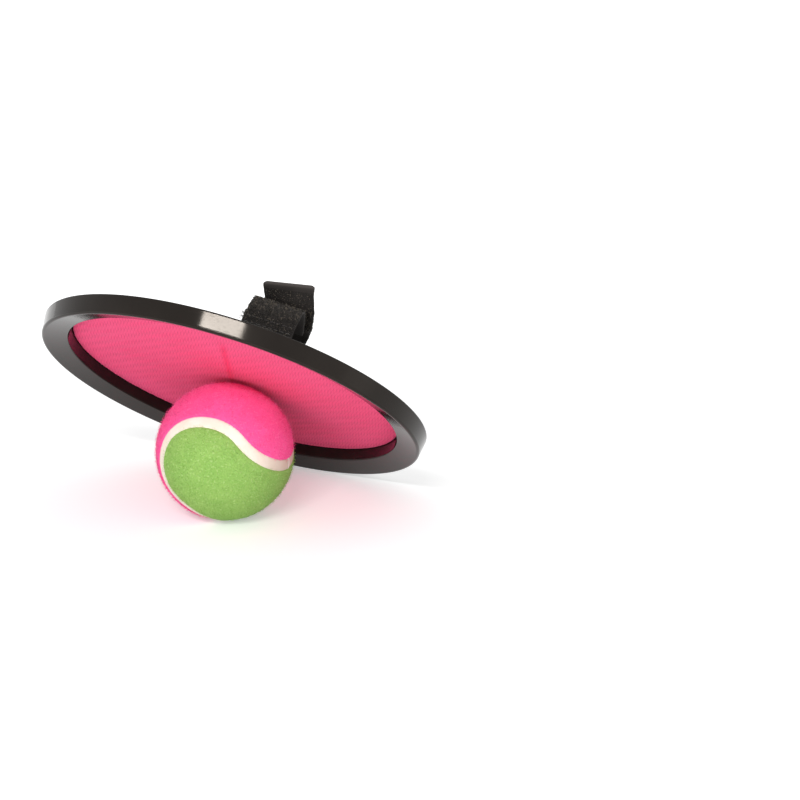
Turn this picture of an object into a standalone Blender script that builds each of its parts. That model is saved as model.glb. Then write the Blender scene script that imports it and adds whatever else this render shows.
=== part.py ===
"""Hook and loop catch set: a paddle with a hand strap and a felt ball that sticks to its face.

The paddle is one moulded disc with a recessed face, a disc of catch fabric glued in the
recess, and two straps of hook and loop tape sewn round two moulded bridges on its back.
The ball is a hollow rubber core of two bonded halves under two felt panels and a seam.

Metres, +Z up. The set lies face down as it comes to rest: on the ball and on the rim.
The origin is where the ball's flat spot meets the surface below.
"""
import bpy
import bmesh
from math import asin, atan2, cos, degrees, hypot, pi, radians, sin, sqrt
from mathutils import Matrix, Vector

# Rim of the paddle, measured in the paddle's own frame: its face looks down -Z,
# z is 0 at the front of the rim and the back is at +Z.
FRONT_RADIUS = 0.0910
BACK_RADIUS = 0.09225
RIM_HEIGHT = 0.0086
BEAD_RADIUS = 0.0012
LIP_WIDTH = 0.0117
LIP_DEPTH = 0.00305
RECESS_DRAFT = 0.0004
WALL = 0.0020
EDGE_ROUNDING = 0.0005
BEAD_WRAP = 105
TURNED_SIDES = 72

# Catch fabric in the recess
FABRIC_DEPTH = 0.0083
FABRIC_THICKNESS = 0.0012
CONTACT_GAP = 0.0003

# Moulded bridges on the back, which hold the straps
BRIDGE_REACH = 0.0460
BAR_RADIUS = 0.0018
BAR_CLEARANCE = 0.0034
BRIDGE_OPENING = 0.0440
POST_WIDTH = 0.0040
POST_LENGTH = 0.0080
POST_TOP = 0.0016
POST_ROUNDING = 0.0013
BAR_SIDES = 16

# Hand strap
STRAP_WIDTH = 0.0235
STRAP_THICKNESS = 0.0016
STRAP_CLEARANCE = 0.0003
HAND_HEIGHT = 0.0304
ARCH_POWER = 3.0
TAIL_LENGTH = 0.0120
TAIL_MEETS_LEG = 0.0084
NEAR_END = 0.0080
STRAP_SIDE_CLEARANCE = 0.0010
NEAR_LEAN = 0.0012
FAR_LEAN = 0.0048
OVERLAP_RAMP = 0.0120
TAB_START = -0.0200
TAB_BEND_RADIUS = 0.0040
TAB_LENGTH = 0.0078
TAB_TURN = radians(63)
TAB_TWIST = radians(11)
TAB_DRIFT = 0.0030
TAPE_STEP = 0.0025
TAPE_LOOP_STEPS = 10
TAPE_COLUMNS = 4

# Ball
BALL_RADIUS = 0.03175
FELT_THICKNESS = 0.0030
CORE_WALL = 0.0035
CORE_SIDES = 32
CORE_STEPS = 8
PANEL_ROWS = 40
PANEL_COLUMNS = 10
SEAM_ROWS = 96
SEAM_COLUMNS = 2
SEAM_WIDTH = 0.0044
SEAM_SINK = 0.0003
SEAM_THIRD = 0.179
SEAM_FIFTH = -0.084
SEAM_RISE = -0.093
SPOT_RADIUS = 0.0052
BALL_SIDEWAYS = 0.0055
BALL_TO_FAR = 0.0024
BALL_TURN = (radians(27.5), radians(35.0), radians(-119.8))

# The side of the rim that the paddle leans on, turned from its own +X towards its far side
LEAN_AZIMUTH = radians(60)

# Worked out from the sizes above
BEAD_CENTRE_RADIUS = FRONT_RADIUS - BEAD_RADIUS
LIP_RADIUS = FRONT_RADIUS - LIP_WIDTH
FLOOR_RADIUS = LIP_RADIUS - RECESS_DRAFT
WEB_FRONT = FABRIC_DEPTH + FABRIC_THICKNESS + CONTACT_GAP
WEB_BACK = WEB_FRONT + WALL
BAR_HEIGHT = WEB_BACK + BAR_CLEARANCE + BAR_RADIUS
LOOP_RADIUS = BAR_RADIUS + STRAP_CLEARANCE + STRAP_THICKNESS / 2
TAPE_PITCH = STRAP_THICKNESS + STRAP_CLEARANCE
STRAP_SIDEWAYS = BRIDGE_OPENING / 2 - STRAP_WIDTH / 2 - STRAP_SIDE_CLEARANCE
ARCH_REACH = BRIDGE_REACH + LOOP_RADIUS
ARCH_HEIGHT = WEB_BACK + HAND_HEIGHT + STRAP_THICKNESS / 2 - BAR_HEIGHT
BALL_DEPTH = FABRIC_DEPTH - BALL_RADIUS - CONTACT_GAP
SPOT_DEPTH = BALL_RADIUS - sqrt(BALL_RADIUS ** 2 - SPOT_RADIUS ** 2)
FELT_INNER = BALL_RADIUS - FELT_THICKNESS
CORE_RADIUS = FELT_INNER - CONTACT_GAP


def material(name, colour, roughness, metallic=0.0):
    made = bpy.data.materials.new(name)
    made.use_nodes = True
    shader = made.node_tree.nodes["Principled BSDF"]
    shader.inputs["Base Color"].default_value = (*colour, 1)
    shader.inputs["Roughness"].default_value = roughness
    shader.inputs["Metallic"].default_value = metallic
    made.diffuse_color = (*colour, 1)
    return made


def smooth(x):
    """Goes from 0 to 1 as x does, level at both ends."""
    x = min(1, max(0, x))
    return x * x * (3 - 2 * x)


def add_object(name, mesh, finish, collection, parent, sharp=35):
    made = bpy.data.objects.new(name, mesh)
    collection.objects.link(made)
    made.parent = parent
    if finish:
        mesh.materials.append(finish)
    mesh.shade_smooth()
    mesh.set_sharp_from_angle(angle=radians(sharp))
    return made


def mesh_from(name, bm):
    bmesh.ops.recalc_face_normals(bm, faces=bm.faces)
    mesh = bpy.data.meshes.new(name)
    bm.to_mesh(mesh)
    bm.free()
    return mesh


def as_helper(made):
    """A shape that only cuts or joins another, and isn't a piece of the set."""
    made.hide_render = True
    made.display_type = "WIRE"
    return made


def join_or_cut(target, tool, operation):
    step = target.modifiers.new(tool.name, "BOOLEAN")
    step.operation = operation
    step.object = tool
    step.solver = "EXACT"


def turned(name, profile, finish, collection, parent, steps):
    """A solid turned round Z from (radius, height) points that run down its outer side."""
    mesh = bpy.data.meshes.new(name)
    points = [(radius, 0, height) for radius, height in profile]
    mesh.from_pydata(points, [(i, i + 1) for i in range(len(points) - 1)], [])
    made = add_object(name, mesh, finish, collection, parent)
    screw = made.modifiers.new("turn", "SCREW")
    screw.angle = 2 * pi
    screw.steps = steps
    screw.render_steps = steps
    screw.use_merge_vertices = True
    screw.merge_threshold = 0.00001
    screw.use_smooth_shade = True
    return made


def arc(centre_radius, centre_height, radius, start, end, count):
    """Points on a round stretch of a profile; 0 degrees points outwards, 90 up."""
    angles = [radians(start + (end - start) * i / count) for i in range(count + 1)]
    return [(centre_radius + radius * cos(a), centre_height + radius * sin(a)) for a in angles]


# The paddle


def disc_profile():
    """The moulded disc's section, from the middle of its back out and round to its face."""
    corner = WALL
    skirt_inner_back = BACK_RADIUS - WALL
    skirt_inner_front = FRONT_RADIUS - WALL
    lip_back_inner = LIP_DEPTH + WALL
    edge = EDGE_ROUNDING
    points = [(0, WEB_BACK)]
    points += arc(FLOOR_RADIUS + WALL - corner, WEB_BACK - corner, corner, 90, 0, 4)
    points += [(LIP_RADIUS + WALL, lip_back_inner)]
    points += [(skirt_inner_front, BEAD_RADIUS + WALL)]
    points += [(skirt_inner_back, RIM_HEIGHT - edge), (skirt_inner_back + edge, RIM_HEIGHT)]
    points += [(BACK_RADIUS - edge, RIM_HEIGHT), (BACK_RADIUS, RIM_HEIGHT - edge)]
    points += arc(BEAD_CENTRE_RADIUS, BEAD_RADIUS, BEAD_RADIUS, 0, -BEAD_WRAP, 7)
    points += [(LIP_RADIUS + edge, LIP_DEPTH - edge / 2), (LIP_RADIUS, LIP_DEPTH + edge / 2)]
    points += [(FLOOR_RADIUS, WEB_FRONT), (0, WEB_FRONT)]
    return points


def bridge_parts(side, collection, parent):
    """The bar and the two posts of one bridge, moulded in one with the disc's back."""
    centre_y = side * BRIDGE_REACH
    bm = bmesh.new()
    span = BRIDGE_OPENING + POST_WIDTH
    along_x = Matrix.Rotation(pi / 2, 4, "Y")
    place = Matrix.Translation((0, centre_y, BAR_HEIGHT)) @ along_x
    bmesh.ops.create_cone(bm, cap_ends=True, segments=BAR_SIDES, radius1=BAR_RADIUS,
                          radius2=BAR_RADIUS, depth=span, matrix=place)
    bar = add_object(f"bridge_bar_{side}", mesh_from("bar", bm), None, collection, parent)
    posts = []
    foot = WEB_BACK - WALL / 2
    top = BAR_HEIGHT + BAR_RADIUS + POST_TOP
    for end in (-1, 1):
        bm = bmesh.new()
        size = Matrix.Diagonal((POST_WIDTH, POST_LENGTH, top - foot, 1))
        middle = Matrix.Translation((end * span / 2, centre_y, (top + foot) / 2))
        bmesh.ops.create_cube(bm, size=1, matrix=middle @ size)
        upper = [e for e in bm.edges if all(v.co.z > BAR_HEIGHT for v in e.verts)]
        bmesh.ops.bevel(bm, geom=upper, offset=POST_ROUNDING, segments=2, profile=0.5,
                        affect="EDGES")
        post = add_object(f"bridge_post_{side}_{end}", mesh_from("post", bm), None,
                          collection, parent)
        posts.append(post)
    return [as_helper(tool) for tool in [bar, *posts]]


def make_disc(finish, collection, helpers, parent):
    disc = turned("paddle_disc", disc_profile(), finish, collection, parent, TURNED_SIDES)
    for side in (-1, 1):
        for tool in bridge_parts(side, helpers, parent):
            join_or_cut(disc, tool, "UNION")
    return disc


def make_fabric(finish, collection, parent):
    bm = bmesh.new()
    radius = FLOOR_RADIUS - CONTACT_GAP
    middle = Matrix.Translation((0, 0, FABRIC_DEPTH + FABRIC_THICKNESS / 2))
    bmesh.ops.create_cone(bm, cap_ends=True, segments=TURNED_SIDES, radius1=radius,
                          radius2=radius, depth=FABRIC_THICKNESS, matrix=middle)
    return add_object("catch_fabric", mesh_from("catch_fabric", bm), finish, collection, parent)


# The hand strap


def arch_point(turn):
    """A point (y, z) on the arch that both straps follow; turn is 0 at the near bridge."""
    share = 2 / ARCH_POWER
    y = -ARCH_REACH * (1 if cos(turn) > 0 else -1) * abs(cos(turn)) ** share
    return y, BAR_HEIGHT + ARCH_HEIGHT * abs(sin(turn)) ** share


def evenly(path, step):
    """The same path with its points the same distance apart."""
    lengths = [0.0]
    for (y0, z0), (y1, z1) in zip(path, path[1:]):
        lengths.append(lengths[-1] + hypot(y1 - y0, z1 - z0))
    count = max(2, round(lengths[-1] / step))
    spaced = []
    at = 0
    for i in range(count + 1):
        wanted = lengths[-1] * i / count
        while at < len(path) - 2 and lengths[at + 1] < wanted:
            at += 1
        share = (wanted - lengths[at]) / (lengths[at + 1] - lengths[at])
        (y0, z0), (y1, z1) = path[at], path[at + 1]
        spaced.append((y0 + (y1 - y0) * share, z0 + (z1 - z0) * share))
    return spaced


def arch_to(end_y):
    """The near part of the arch, from the near bridge to where y reaches end_y."""
    fine = [arch_point(pi * i / 2000) for i in range(2001)]
    return evenly([p for p in fine if p[0] <= end_y], TAPE_STEP)


def raised(path, amount):
    """The path moved outwards, off the arch, by amount(y)."""
    moved = []
    for i, (y, z) in enumerate(path):
        y0, z0 = path[max(0, i - 1)]
        y1, z1 = path[min(len(path) - 1, i + 1)]
        length = hypot(y1 - y0, z1 - z0)
        out = amount(y)
        moved.append((y - out * (z1 - z0) / length, z + out * (y1 - y0) / length))
    return moved


def leg_y(z):
    """How far out the near leg of the arch is at a height z."""
    rise = (z - BAR_HEIGHT) / ARCH_HEIGHT
    return -ARCH_REACH * (1 - rise ** ARCH_POWER) ** (1 / ARCH_POWER)


def tape_loop():
    """The tape's sewn tail and its turn under the near bar, from the tail's end."""
    tail = []
    count = round(2 * TAIL_LENGTH / TAPE_STEP)
    for i in range(count):
        z = BAR_HEIGHT + TAIL_LENGTH * (count - i) / count
        spread = (2 * LOOP_RADIUS - TAPE_PITCH) * (1 - smooth((z - BAR_HEIGHT) / TAIL_MEETS_LEG))
        tail.append((leg_y(z) + TAPE_PITCH + spread, z))
    turn = []
    for i in range(TAPE_LOOP_STEPS):
        a = pi * i / TAPE_LOOP_STEPS
        turn.append((-BRIDGE_REACH + LOOP_RADIUS * cos(a), BAR_HEIGHT - LOOP_RADIUS * sin(a)))
    return tail + turn


def tape(name, stations, finish, collection, parent):
    """A flat tape through stations of (middle, direction across), as a closed solid."""
    bm = bmesh.new()
    rows = []
    for middle, across in stations:
        offsets = [STRAP_WIDTH * (c / TAPE_COLUMNS - 0.5) for c in range(TAPE_COLUMNS + 1)]
        rows.append([bm.verts.new(middle + across * q) for q in offsets])
    for low, high in zip(rows, rows[1:]):
        for c in range(TAPE_COLUMNS):
            bm.faces.new((low[c], low[c + 1], high[c + 1], high[c]))
    made = add_object(name, mesh_from(name, bm), finish, collection, parent)
    wall = made.modifiers.new("thickness", "SOLIDIFY")
    wall.thickness = STRAP_THICKNESS
    wall.offset = 0
    wall.use_even_offset = True
    return made


def make_near_strap(finish, collection, parent):
    across = Vector((1, 0, 0))
    stations = []
    for y, z in tape_loop():
        stations.append((Vector((STRAP_SIDEWAYS, y, z)), across))
    for y, z in arch_to(NEAR_END):
        lean = NEAR_LEAN * smooth((z - BAR_HEIGHT) / ARCH_HEIGHT)
        stations.append((Vector((STRAP_SIDEWAYS + lean, y, z)), across))
    return tape("near_strap", stations, finish, collection, parent)


def make_far_strap(finish, collection, parent):
    """The strap from the far bridge, on top of the near one, with its end turned up."""
    across = Vector((1, 0, 0))
    stations = []
    for y, z in tape_loop():
        stations.append((Vector((STRAP_SIDEWAYS, -y, z)), across))
    ramp_start = NEAR_END + TAPE_PITCH + OVERLAP_RAMP
    own_side = arch_to(-TAB_START)

    def lift(y):
        return TAPE_PITCH * smooth((y + ramp_start) / OVERLAP_RAMP)

    for y, z in raised(own_side, lift):
        lean = FAR_LEAN * smooth((y + ARCH_REACH) / ARCH_REACH)
        stations.append((Vector((STRAP_SIDEWAYS + lean, -y, z)), across))

    # The free end leaves the arch along its tangent, bends up and twists a little.
    last, before = stations[-1][0], stations[-2][0]
    heading = atan2(last.z - before.z, before.y - last.y)
    middle = STRAP_SIDEWAYS + FAR_LEAN
    bend_length = TAB_BEND_RADIUS * TAB_TURN
    bend_count = 6
    straight_count = 4
    y, z = last.y, last.z
    travelled = 0
    for i in range(1, bend_count + straight_count + 1):
        bending = i <= bend_count
        step = bend_length / bend_count if bending else TAB_LENGTH / straight_count
        turn = TAB_TURN / bend_count if bending else 0
        y -= step * cos(heading + turn / 2)
        z += step * sin(heading + turn / 2)
        heading += turn
        travelled += step
        share = smooth(travelled / (bend_length + TAB_LENGTH))
        twist = TAB_TWIST * share
        across = Vector((cos(twist), -sin(twist) / 3, sin(twist))).normalized()
        stations.append((Vector((middle - TAB_DRIFT * share, y, z)), across))
    return tape("far_strap", stations, finish, collection, parent)


# The ball


def seam_direction(t):
    """The seam's closed curve on a sphere, as a direction from the ball's middle."""
    first = 1 - SEAM_THIRD - SEAM_FIFTH
    x = first * cos(t) + SEAM_THIRD * cos(3 * t) + SEAM_FIFTH * cos(5 * t)
    y = first * sin(t) - SEAM_THIRD * sin(3 * t) + SEAM_FIFTH * sin(5 * t)
    z = 2 * sqrt(first * SEAM_THIRD) * sin(2 * t) + SEAM_RISE * sin(6 * t)
    return Vector((x, y, z)).normalized()


def beside_seam(t, distance):
    """A direction beside the seam; distance is along the ball's surface, towards +Z's panel."""
    here = seam_direction(t)
    ahead = seam_direction(t + 0.001) - here
    side = here.cross(ahead).normalized()
    return (here + side * distance / BALL_RADIUS).normalized()


def walled(bm, outer, inner):
    """Gives an open patch on a sphere its thickness, with walls that point at the middle."""
    copied = bmesh.ops.extrude_face_region(bm, geom=bm.faces[:], use_keep_orig=True)
    for part in copied["geom"]:
        if isinstance(part, bmesh.types.BMVert):
            part.co *= inner / outer


def make_felt_panel(name, tip, side, finish, collection, parent):
    """One dog-bone panel; tip is where the seam curve turns round one of its lobes."""
    inset = side * (SEAM_WIDTH / 2 + CONTACT_GAP)
    bm = bmesh.new()
    rows = []
    for i in range(PANEL_ROWS + 1):
        t = tip + pi * i / PANEL_ROWS
        start, end = beside_seam(t, inset), beside_seam(2 * tip - t, inset)
        if i in (0, PANEL_ROWS):
            rows.append([bm.verts.new(start * BALL_RADIUS)] * (PANEL_COLUMNS + 1))
            continue
        row = [start.slerp(end, c / PANEL_COLUMNS) for c in range(PANEL_COLUMNS + 1)]
        rows.append([bm.verts.new(direction * BALL_RADIUS) for direction in row])
    for low, high in zip(rows, rows[1:]):
        for c in range(PANEL_COLUMNS):
            corners = [low[c], low[c + 1], high[c + 1], high[c]]
            bm.faces.new(list(dict.fromkeys(corners)))
    walled(bm, BALL_RADIUS, FELT_INNER)
    return add_object(name, mesh_from(name, bm), finish, collection, parent)


def make_seam(finish, collection, parent):
    """The line of seam between the two panels, a little below the felt."""
    radius = BALL_RADIUS - SEAM_SINK
    bm = bmesh.new()
    rows = []
    for i in range(SEAM_ROWS):
        t = 2 * pi * i / SEAM_ROWS
        offsets = [SEAM_WIDTH * (c / SEAM_COLUMNS - 0.5) for c in range(SEAM_COLUMNS + 1)]
        rows.append([bm.verts.new(beside_seam(t, q) * radius) for q in offsets])
    for i in range(SEAM_ROWS):
        low, high = rows[i], rows[(i + 1) % SEAM_ROWS]
        for c in range(SEAM_COLUMNS):
            bm.faces.new((low[c], low[c + 1], high[c + 1], high[c]))
    walled(bm, radius, FELT_INNER)
    return add_object("ball_seam", mesh_from("ball_seam", bm), finish, collection, parent)


def make_core_half(name, side, finish, collection, parent):
    """Half of the hollow rubber core, an open cup that is bonded to the other half."""
    inner = CORE_RADIUS - CORE_WALL
    joint = CONTACT_GAP / 2
    outer_start = degrees(asin(joint / CORE_RADIUS))
    inner_start = degrees(asin(joint / inner))
    profile = arc(0, 0, CORE_RADIUS, 90, outer_start, CORE_STEPS)
    profile += arc(0, 0, inner, inner_start, 90, CORE_STEPS)
    half = turned(name, profile, finish, collection, parent, CORE_SIDES)
    half.rotation_euler.x = 0 if side > 0 else pi
    return half


# The set at rest


def lean_angle():
    """How far the paddle tilts so that the ball and the rim's bead touch the same surface."""
    along = BALL_SIDEWAYS * cos(LEAN_AZIMUTH) + BALL_TO_FAR * sin(LEAN_AZIMUTH)
    reach = BEAD_CENTRE_RADIUS - along
    drop = BEAD_RADIUS - BALL_DEPTH
    rise = BALL_RADIUS - SPOT_DEPTH - BEAD_RADIUS
    return atan2(drop, reach) + asin(rise / hypot(reach, drop))


def rest_matrix():
    """Takes the paddle's own frame to where it rests, with the ball's flat spot at the origin."""
    turn = Matrix.Rotation(-lean_angle(), 4, "X") @ Matrix.Rotation(pi / 2 - LEAN_AZIMUTH, 4, "Z")
    ball = turn @ Vector((BALL_SIDEWAYS, BALL_TO_FAR, BALL_DEPTH))
    return Matrix.Translation(Vector((0, 0, BALL_RADIUS - SPOT_DEPTH)) - ball) @ turn


def add_empty(name, collection, matrix, parent=None):
    made = bpy.data.objects.new(name, None)
    collection.objects.link(made)
    made.parent = parent
    made.matrix_local = matrix
    return made


def make_floor_cutter(collection):
    """What the ball's own weight flattens is cut away below the surface it rests on."""
    bm = bmesh.new()
    size = 2 * BALL_RADIUS
    place = Matrix.Translation((0, 0, -size / 2)) @ Matrix.Scale(size, 4)
    bmesh.ops.create_cube(bm, size=1, matrix=place)
    return as_helper(add_object("floor_cutter", mesh_from("floor_cutter", bm), None, collection, None))


def build():
    for old in list(bpy.data.objects):
        bpy.data.objects.remove(old)
    pieces = bpy.data.collections.new("hook_and_loop_catch_set")
    helpers = bpy.data.collections.new("helpers")
    for collection in (pieces, helpers):
        bpy.context.scene.collection.children.link(collection)

    black_plastic = material("black_plastic", (0.028, 0.024, 0.022), 0.28)
    pink_fabric = material("pink_catch_fabric", (0.86, 0.10, 0.22), 0.9)
    strap_black = material("black_tape", (0.025, 0.023, 0.021), 0.95)
    pink_felt = material("pink_felt", (0.96, 0.09, 0.26), 0.95)
    green_felt = material("green_felt", (0.30, 0.52, 0.12), 0.95)
    seam_rubber = material("cream_seam", (0.93, 0.90, 0.75), 0.7)
    core_rubber = material("core_rubber", (0.12, 0.11, 0.10), 0.8)

    paddle = add_empty("paddle_frame", pieces, rest_matrix())
    centre = Vector((0, 0, BALL_RADIUS - SPOT_DEPTH))
    tilt_x, tilt_y, tilt_z = BALL_TURN
    turn = Matrix.Rotation(tilt_z, 4, "Z") @ Matrix.Rotation(tilt_y, 4, "Y") @ Matrix.Rotation(tilt_x, 4, "X")
    ball = add_empty("ball_frame", pieces, Matrix.Translation(centre) @ turn)

    make_disc(black_plastic, pieces, helpers, paddle)
    make_fabric(pink_fabric, pieces, paddle)
    make_near_strap(strap_black, pieces, paddle)
    make_far_strap(strap_black, pieces, paddle)

    make_core_half("ball_core_half_a", 1, core_rubber, pieces, ball)
    make_core_half("ball_core_half_b", -1, core_rubber, pieces, ball)
    floor_cutter = make_floor_cutter(helpers)
    covers = [
        make_felt_panel("ball_felt_pink", 0.75 * pi, 1, pink_felt, pieces, ball),
        make_felt_panel("ball_felt_green", 0.25 * pi, -1, green_felt, pieces, ball),
        make_seam(seam_rubber, pieces, ball),
    ]
    for cover in covers:
        join_or_cut(cover, floor_cutter, "DIFFERENCE")


build()
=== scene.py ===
import bpy
import bmesh
from math import asin, atan2, cos, degrees, exp, hypot, pi, radians, sin, sqrt, tan
from mathutils import Euler, Matrix, Vector, noise


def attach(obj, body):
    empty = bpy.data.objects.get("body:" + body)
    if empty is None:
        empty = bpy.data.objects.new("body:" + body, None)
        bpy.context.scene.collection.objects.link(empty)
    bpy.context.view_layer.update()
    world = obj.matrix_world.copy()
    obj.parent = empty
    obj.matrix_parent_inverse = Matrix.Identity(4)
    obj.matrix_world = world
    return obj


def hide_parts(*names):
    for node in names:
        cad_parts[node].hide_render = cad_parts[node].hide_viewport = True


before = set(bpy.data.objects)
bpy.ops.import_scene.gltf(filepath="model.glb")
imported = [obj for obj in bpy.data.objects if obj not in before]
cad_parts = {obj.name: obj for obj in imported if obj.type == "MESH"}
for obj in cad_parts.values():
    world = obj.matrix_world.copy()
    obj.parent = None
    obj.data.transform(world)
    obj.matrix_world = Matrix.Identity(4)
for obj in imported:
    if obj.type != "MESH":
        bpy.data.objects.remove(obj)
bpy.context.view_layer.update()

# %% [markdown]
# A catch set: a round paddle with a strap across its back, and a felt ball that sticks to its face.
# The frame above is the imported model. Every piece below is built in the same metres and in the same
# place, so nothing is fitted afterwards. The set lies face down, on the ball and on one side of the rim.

# %% [markdown]
# The camera comes first, because everything is judged through it. It could be placed by eye, but a
# fitted camera is exact: its three axes and its place were solved from the ellipses of the rim, the
# lip and the ball. A long lens of 90 mm gives the flat perspective of a product photograph.

# %% Camera
CAMERA_RIGHT = Vector((0.86975, 0.49345, -0.00595))
CAMERA_DOWN = Vector((0.12109, -0.22510, -0.96678))
CAMERA_AHEAD = Vector((-0.47840, 0.84014, -0.25553))
CAMERA_PLACE = Vector((0.50582, -0.72598, 0.28806))
LENS_MM = 90
SENSOR_MM = 36


def placed(name, data):
    """A new object in the scene, at the origin."""
    made = bpy.data.objects.new(name, data)
    bpy.context.scene.collection.objects.link(made)
    return made


camera = placed("camera", bpy.data.cameras.new("camera"))
camera.data.lens = LENS_MM
camera.data.sensor_width = SENSOR_MM
camera.data.sensor_height = SENSOR_MM
camera.data.clip_start = 0.01
axes = Matrix((CAMERA_RIGHT, -CAMERA_DOWN, -CAMERA_AHEAD)).transposed()
camera.matrix_world = Matrix.Translation(CAMERA_PLACE) @ axes.to_4x4()
bpy.context.scene.camera = camera
bpy.context.scene.view_settings.view_transform = "Standard"
print("camera", round((CAMERA_PLACE - Vector((0, 0, 0.05))).length, 3), "m from the set")

# %% [markdown]
# A shader is a graph of nodes. These helpers add nodes with their values and join their sockets, so
# that each material and each tree below can be read from top to bottom.

# %% Helpers for node graphs
def add_node(tree, kind, **values):
    """A node of that kind; a value whose name is a socket's goes there, any other is a setting."""
    made = tree.nodes.new(kind)
    for name, value in values.items():
        title = name.replace("_", " ")
        sockets = [s for s in made.inputs if s.name.lower() == title and s.enabled]
        if sockets:
            join(tree, value, sockets[0])
        else:
            setattr(made, name, value)
    return made


def join(tree, value, socket):
    """Links a socket to another, or gives it a plain value."""
    if isinstance(value, bpy.types.NodeSocket):
        tree.links.new(value, socket)
    else:
        socket.default_value = value


def first_out(tree, kind, **values):
    """The first output of a new node with those values."""
    return add_node(tree, kind, **values).outputs[0]


def maths(tree, operation, *values):
    """The output of a Math node with those inputs."""
    made = tree.nodes.new("ShaderNodeMath")
    made.operation = operation
    for value, socket in zip(values, made.inputs):
        join(tree, value, socket)
    return made.outputs[0]


def new_group(name, kind, inputs, outputs):
    """An empty node group with named sockets, and its input and output nodes."""
    tree = bpy.data.node_groups.new(name, kind)
    for title, socket_type, value in inputs:
        socket = tree.interface.new_socket(name=title, in_out="INPUT", socket_type=socket_type)
        if value is not None:
            socket.default_value = value
    for title, socket_type in outputs:
        tree.interface.new_socket(name=title, in_out="OUTPUT", socket_type=socket_type)
    return tree, tree.nodes.new("NodeGroupInput"), tree.nodes.new("NodeGroupOutput")


def mixed(tree, share, first, second):
    """The output of a colour mix: first where share is 0, second where it is 1."""
    made = tree.nodes.new("ShaderNodeMix")
    made.data_type = "RGBA"
    for value, socket in zip((share, first, second), (made.inputs[0], made.inputs[6], made.inputs[7])):
        join(tree, value, socket)
    return made.outputs[2]


def ramped(tree, value, low, high):
    """The output of a Map Range node that takes low..high to 0..1, smoothly."""
    return first_out(tree, "ShaderNodeMapRange", interpolation_type="SMOOTHSTEP", value=value,
                     from_min=low, from_max=high)


# %% [markdown]
# Three effects come back in several materials, so each is a node group that is built once. Grain
# gives a fine height and a speckle mask. Drift lets a colour wander between two tones, because no
# dye or moulding is quite even. Weave gives the height of threads that cross at right angles.

# %% Shared effect: grain
VECTOR, FLOAT, COLOUR = "NodeSocketVector", "NodeSocketFloat", "NodeSocketColor"
grain, g_in, g_out = new_group(
    "grain", "ShaderNodeTree",
    [("Place", VECTOR, None), ("Scale", FLOAT, 800.0), ("Detail", FLOAT, 3.0)],
    [("Height", FLOAT), ("Speckle", FLOAT)],
)
cloud = add_node(grain, "ShaderNodeTexNoise", vector=g_in.outputs["Place"], scale=g_in.outputs["Scale"],
                 detail=g_in.outputs["Detail"], roughness=0.6).outputs["Fac"]
join(grain, cloud, g_out.inputs["Height"])
join(grain, ramped(grain, cloud, 0.56, 0.70), g_out.inputs["Speckle"])
print("group grain:", len(grain.nodes), "nodes")

# %% Shared effect: drift
drift, d_in, d_out = new_group(
    "drift", "ShaderNodeTree",
    [("Place", VECTOR, None), ("Scale", FLOAT, 30.0), ("First", COLOUR, None), ("Second", COLOUR, None)],
    [("Colour", COLOUR), ("Mask", FLOAT)],
)
cloud = add_node(drift, "ShaderNodeTexNoise", vector=d_in.outputs["Place"], scale=d_in.outputs["Scale"],
                 detail=4.0, roughness=0.55)
wander = ramped(drift, cloud.outputs["Fac"], 0.36, 0.64)
join(drift, mixed(drift, wander, d_in.outputs["First"], d_in.outputs["Second"]), d_out.inputs["Colour"])
join(drift, wander, d_out.inputs["Mask"])
print("group drift:", len(drift.nodes), "nodes")

# %% Shared effect: weave
def crossed_waves(tree, place, pitch_x, pitch_y):
    """Two cosine waves, along x and along y, with those pitches."""
    parts = add_node(tree, "ShaderNodeSeparateXYZ", vector=place).outputs
    return [maths(tree, "COSINE", maths(tree, "DIVIDE", maths(tree, "MULTIPLY", part, 2 * pi), pitch))
            for part, pitch in ((parts["X"], pitch_x), (parts["Y"], pitch_y))]


weave, w_in, w_out = new_group(
    "weave", "ShaderNodeTree",
    [("Place", VECTOR, None), ("Across", FLOAT, 0.001), ("Along", FLOAT, 0.001)],
    [("Height", FLOAT), ("Gaps", FLOAT)],
)
waves = crossed_waves(weave, w_in.outputs["Place"], w_in.outputs["Across"], w_in.outputs["Along"])
crossing = maths(weave, "MULTIPLY", waves[0], waves[1])
join(weave, maths(weave, "MULTIPLY_ADD", crossing, 0.5, 0.5), w_out.inputs["Height"])
join(weave, ramped(weave, maths(weave, "ADD", waves[0], waves[1]), -0.7, -1.9), w_out.inputs["Gaps"])
print("group weave:", len(weave.nodes), "nodes")

# %% Helpers for materials
def new_material(name, **values):
    """A material with a Principled BSDF, whose plain values sit on its own sockets."""
    made = bpy.data.materials.new(name)
    made.use_nodes = True
    shader = made.node_tree.nodes["Principled BSDF"]
    for title, value in values.items():
        shader.inputs[title.replace("_", " ")].default_value = value
    return made, made.node_tree, shader


def effect(tree, group, **values):
    """A shared effect placed in a material with its own values."""
    made = tree.nodes.new("ShaderNodeGroup")
    made.node_tree = group
    for title, value in values.items():
        join(tree, value, made.inputs[title])
    return made.outputs


def object_place(tree):
    return tree.nodes.new("ShaderNodeTexCoord").outputs["Object"]


def own_map(tree):
    """The piece's own UV map, which is in metres on its surface."""
    return add_node(tree, "ShaderNodeUVMap", uv_map="metres").outputs["UV"]


def attribute(tree, name):
    return add_node(tree, "ShaderNodeAttribute", attribute_name=name).outputs["Fac"]


def tinted(tree, colour, mask, share, tint):
    """The colour, moved towards a tint by a share of the mask."""
    return mixed(tree, maths(tree, "MULTIPLY", mask, share), colour, tint)


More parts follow.
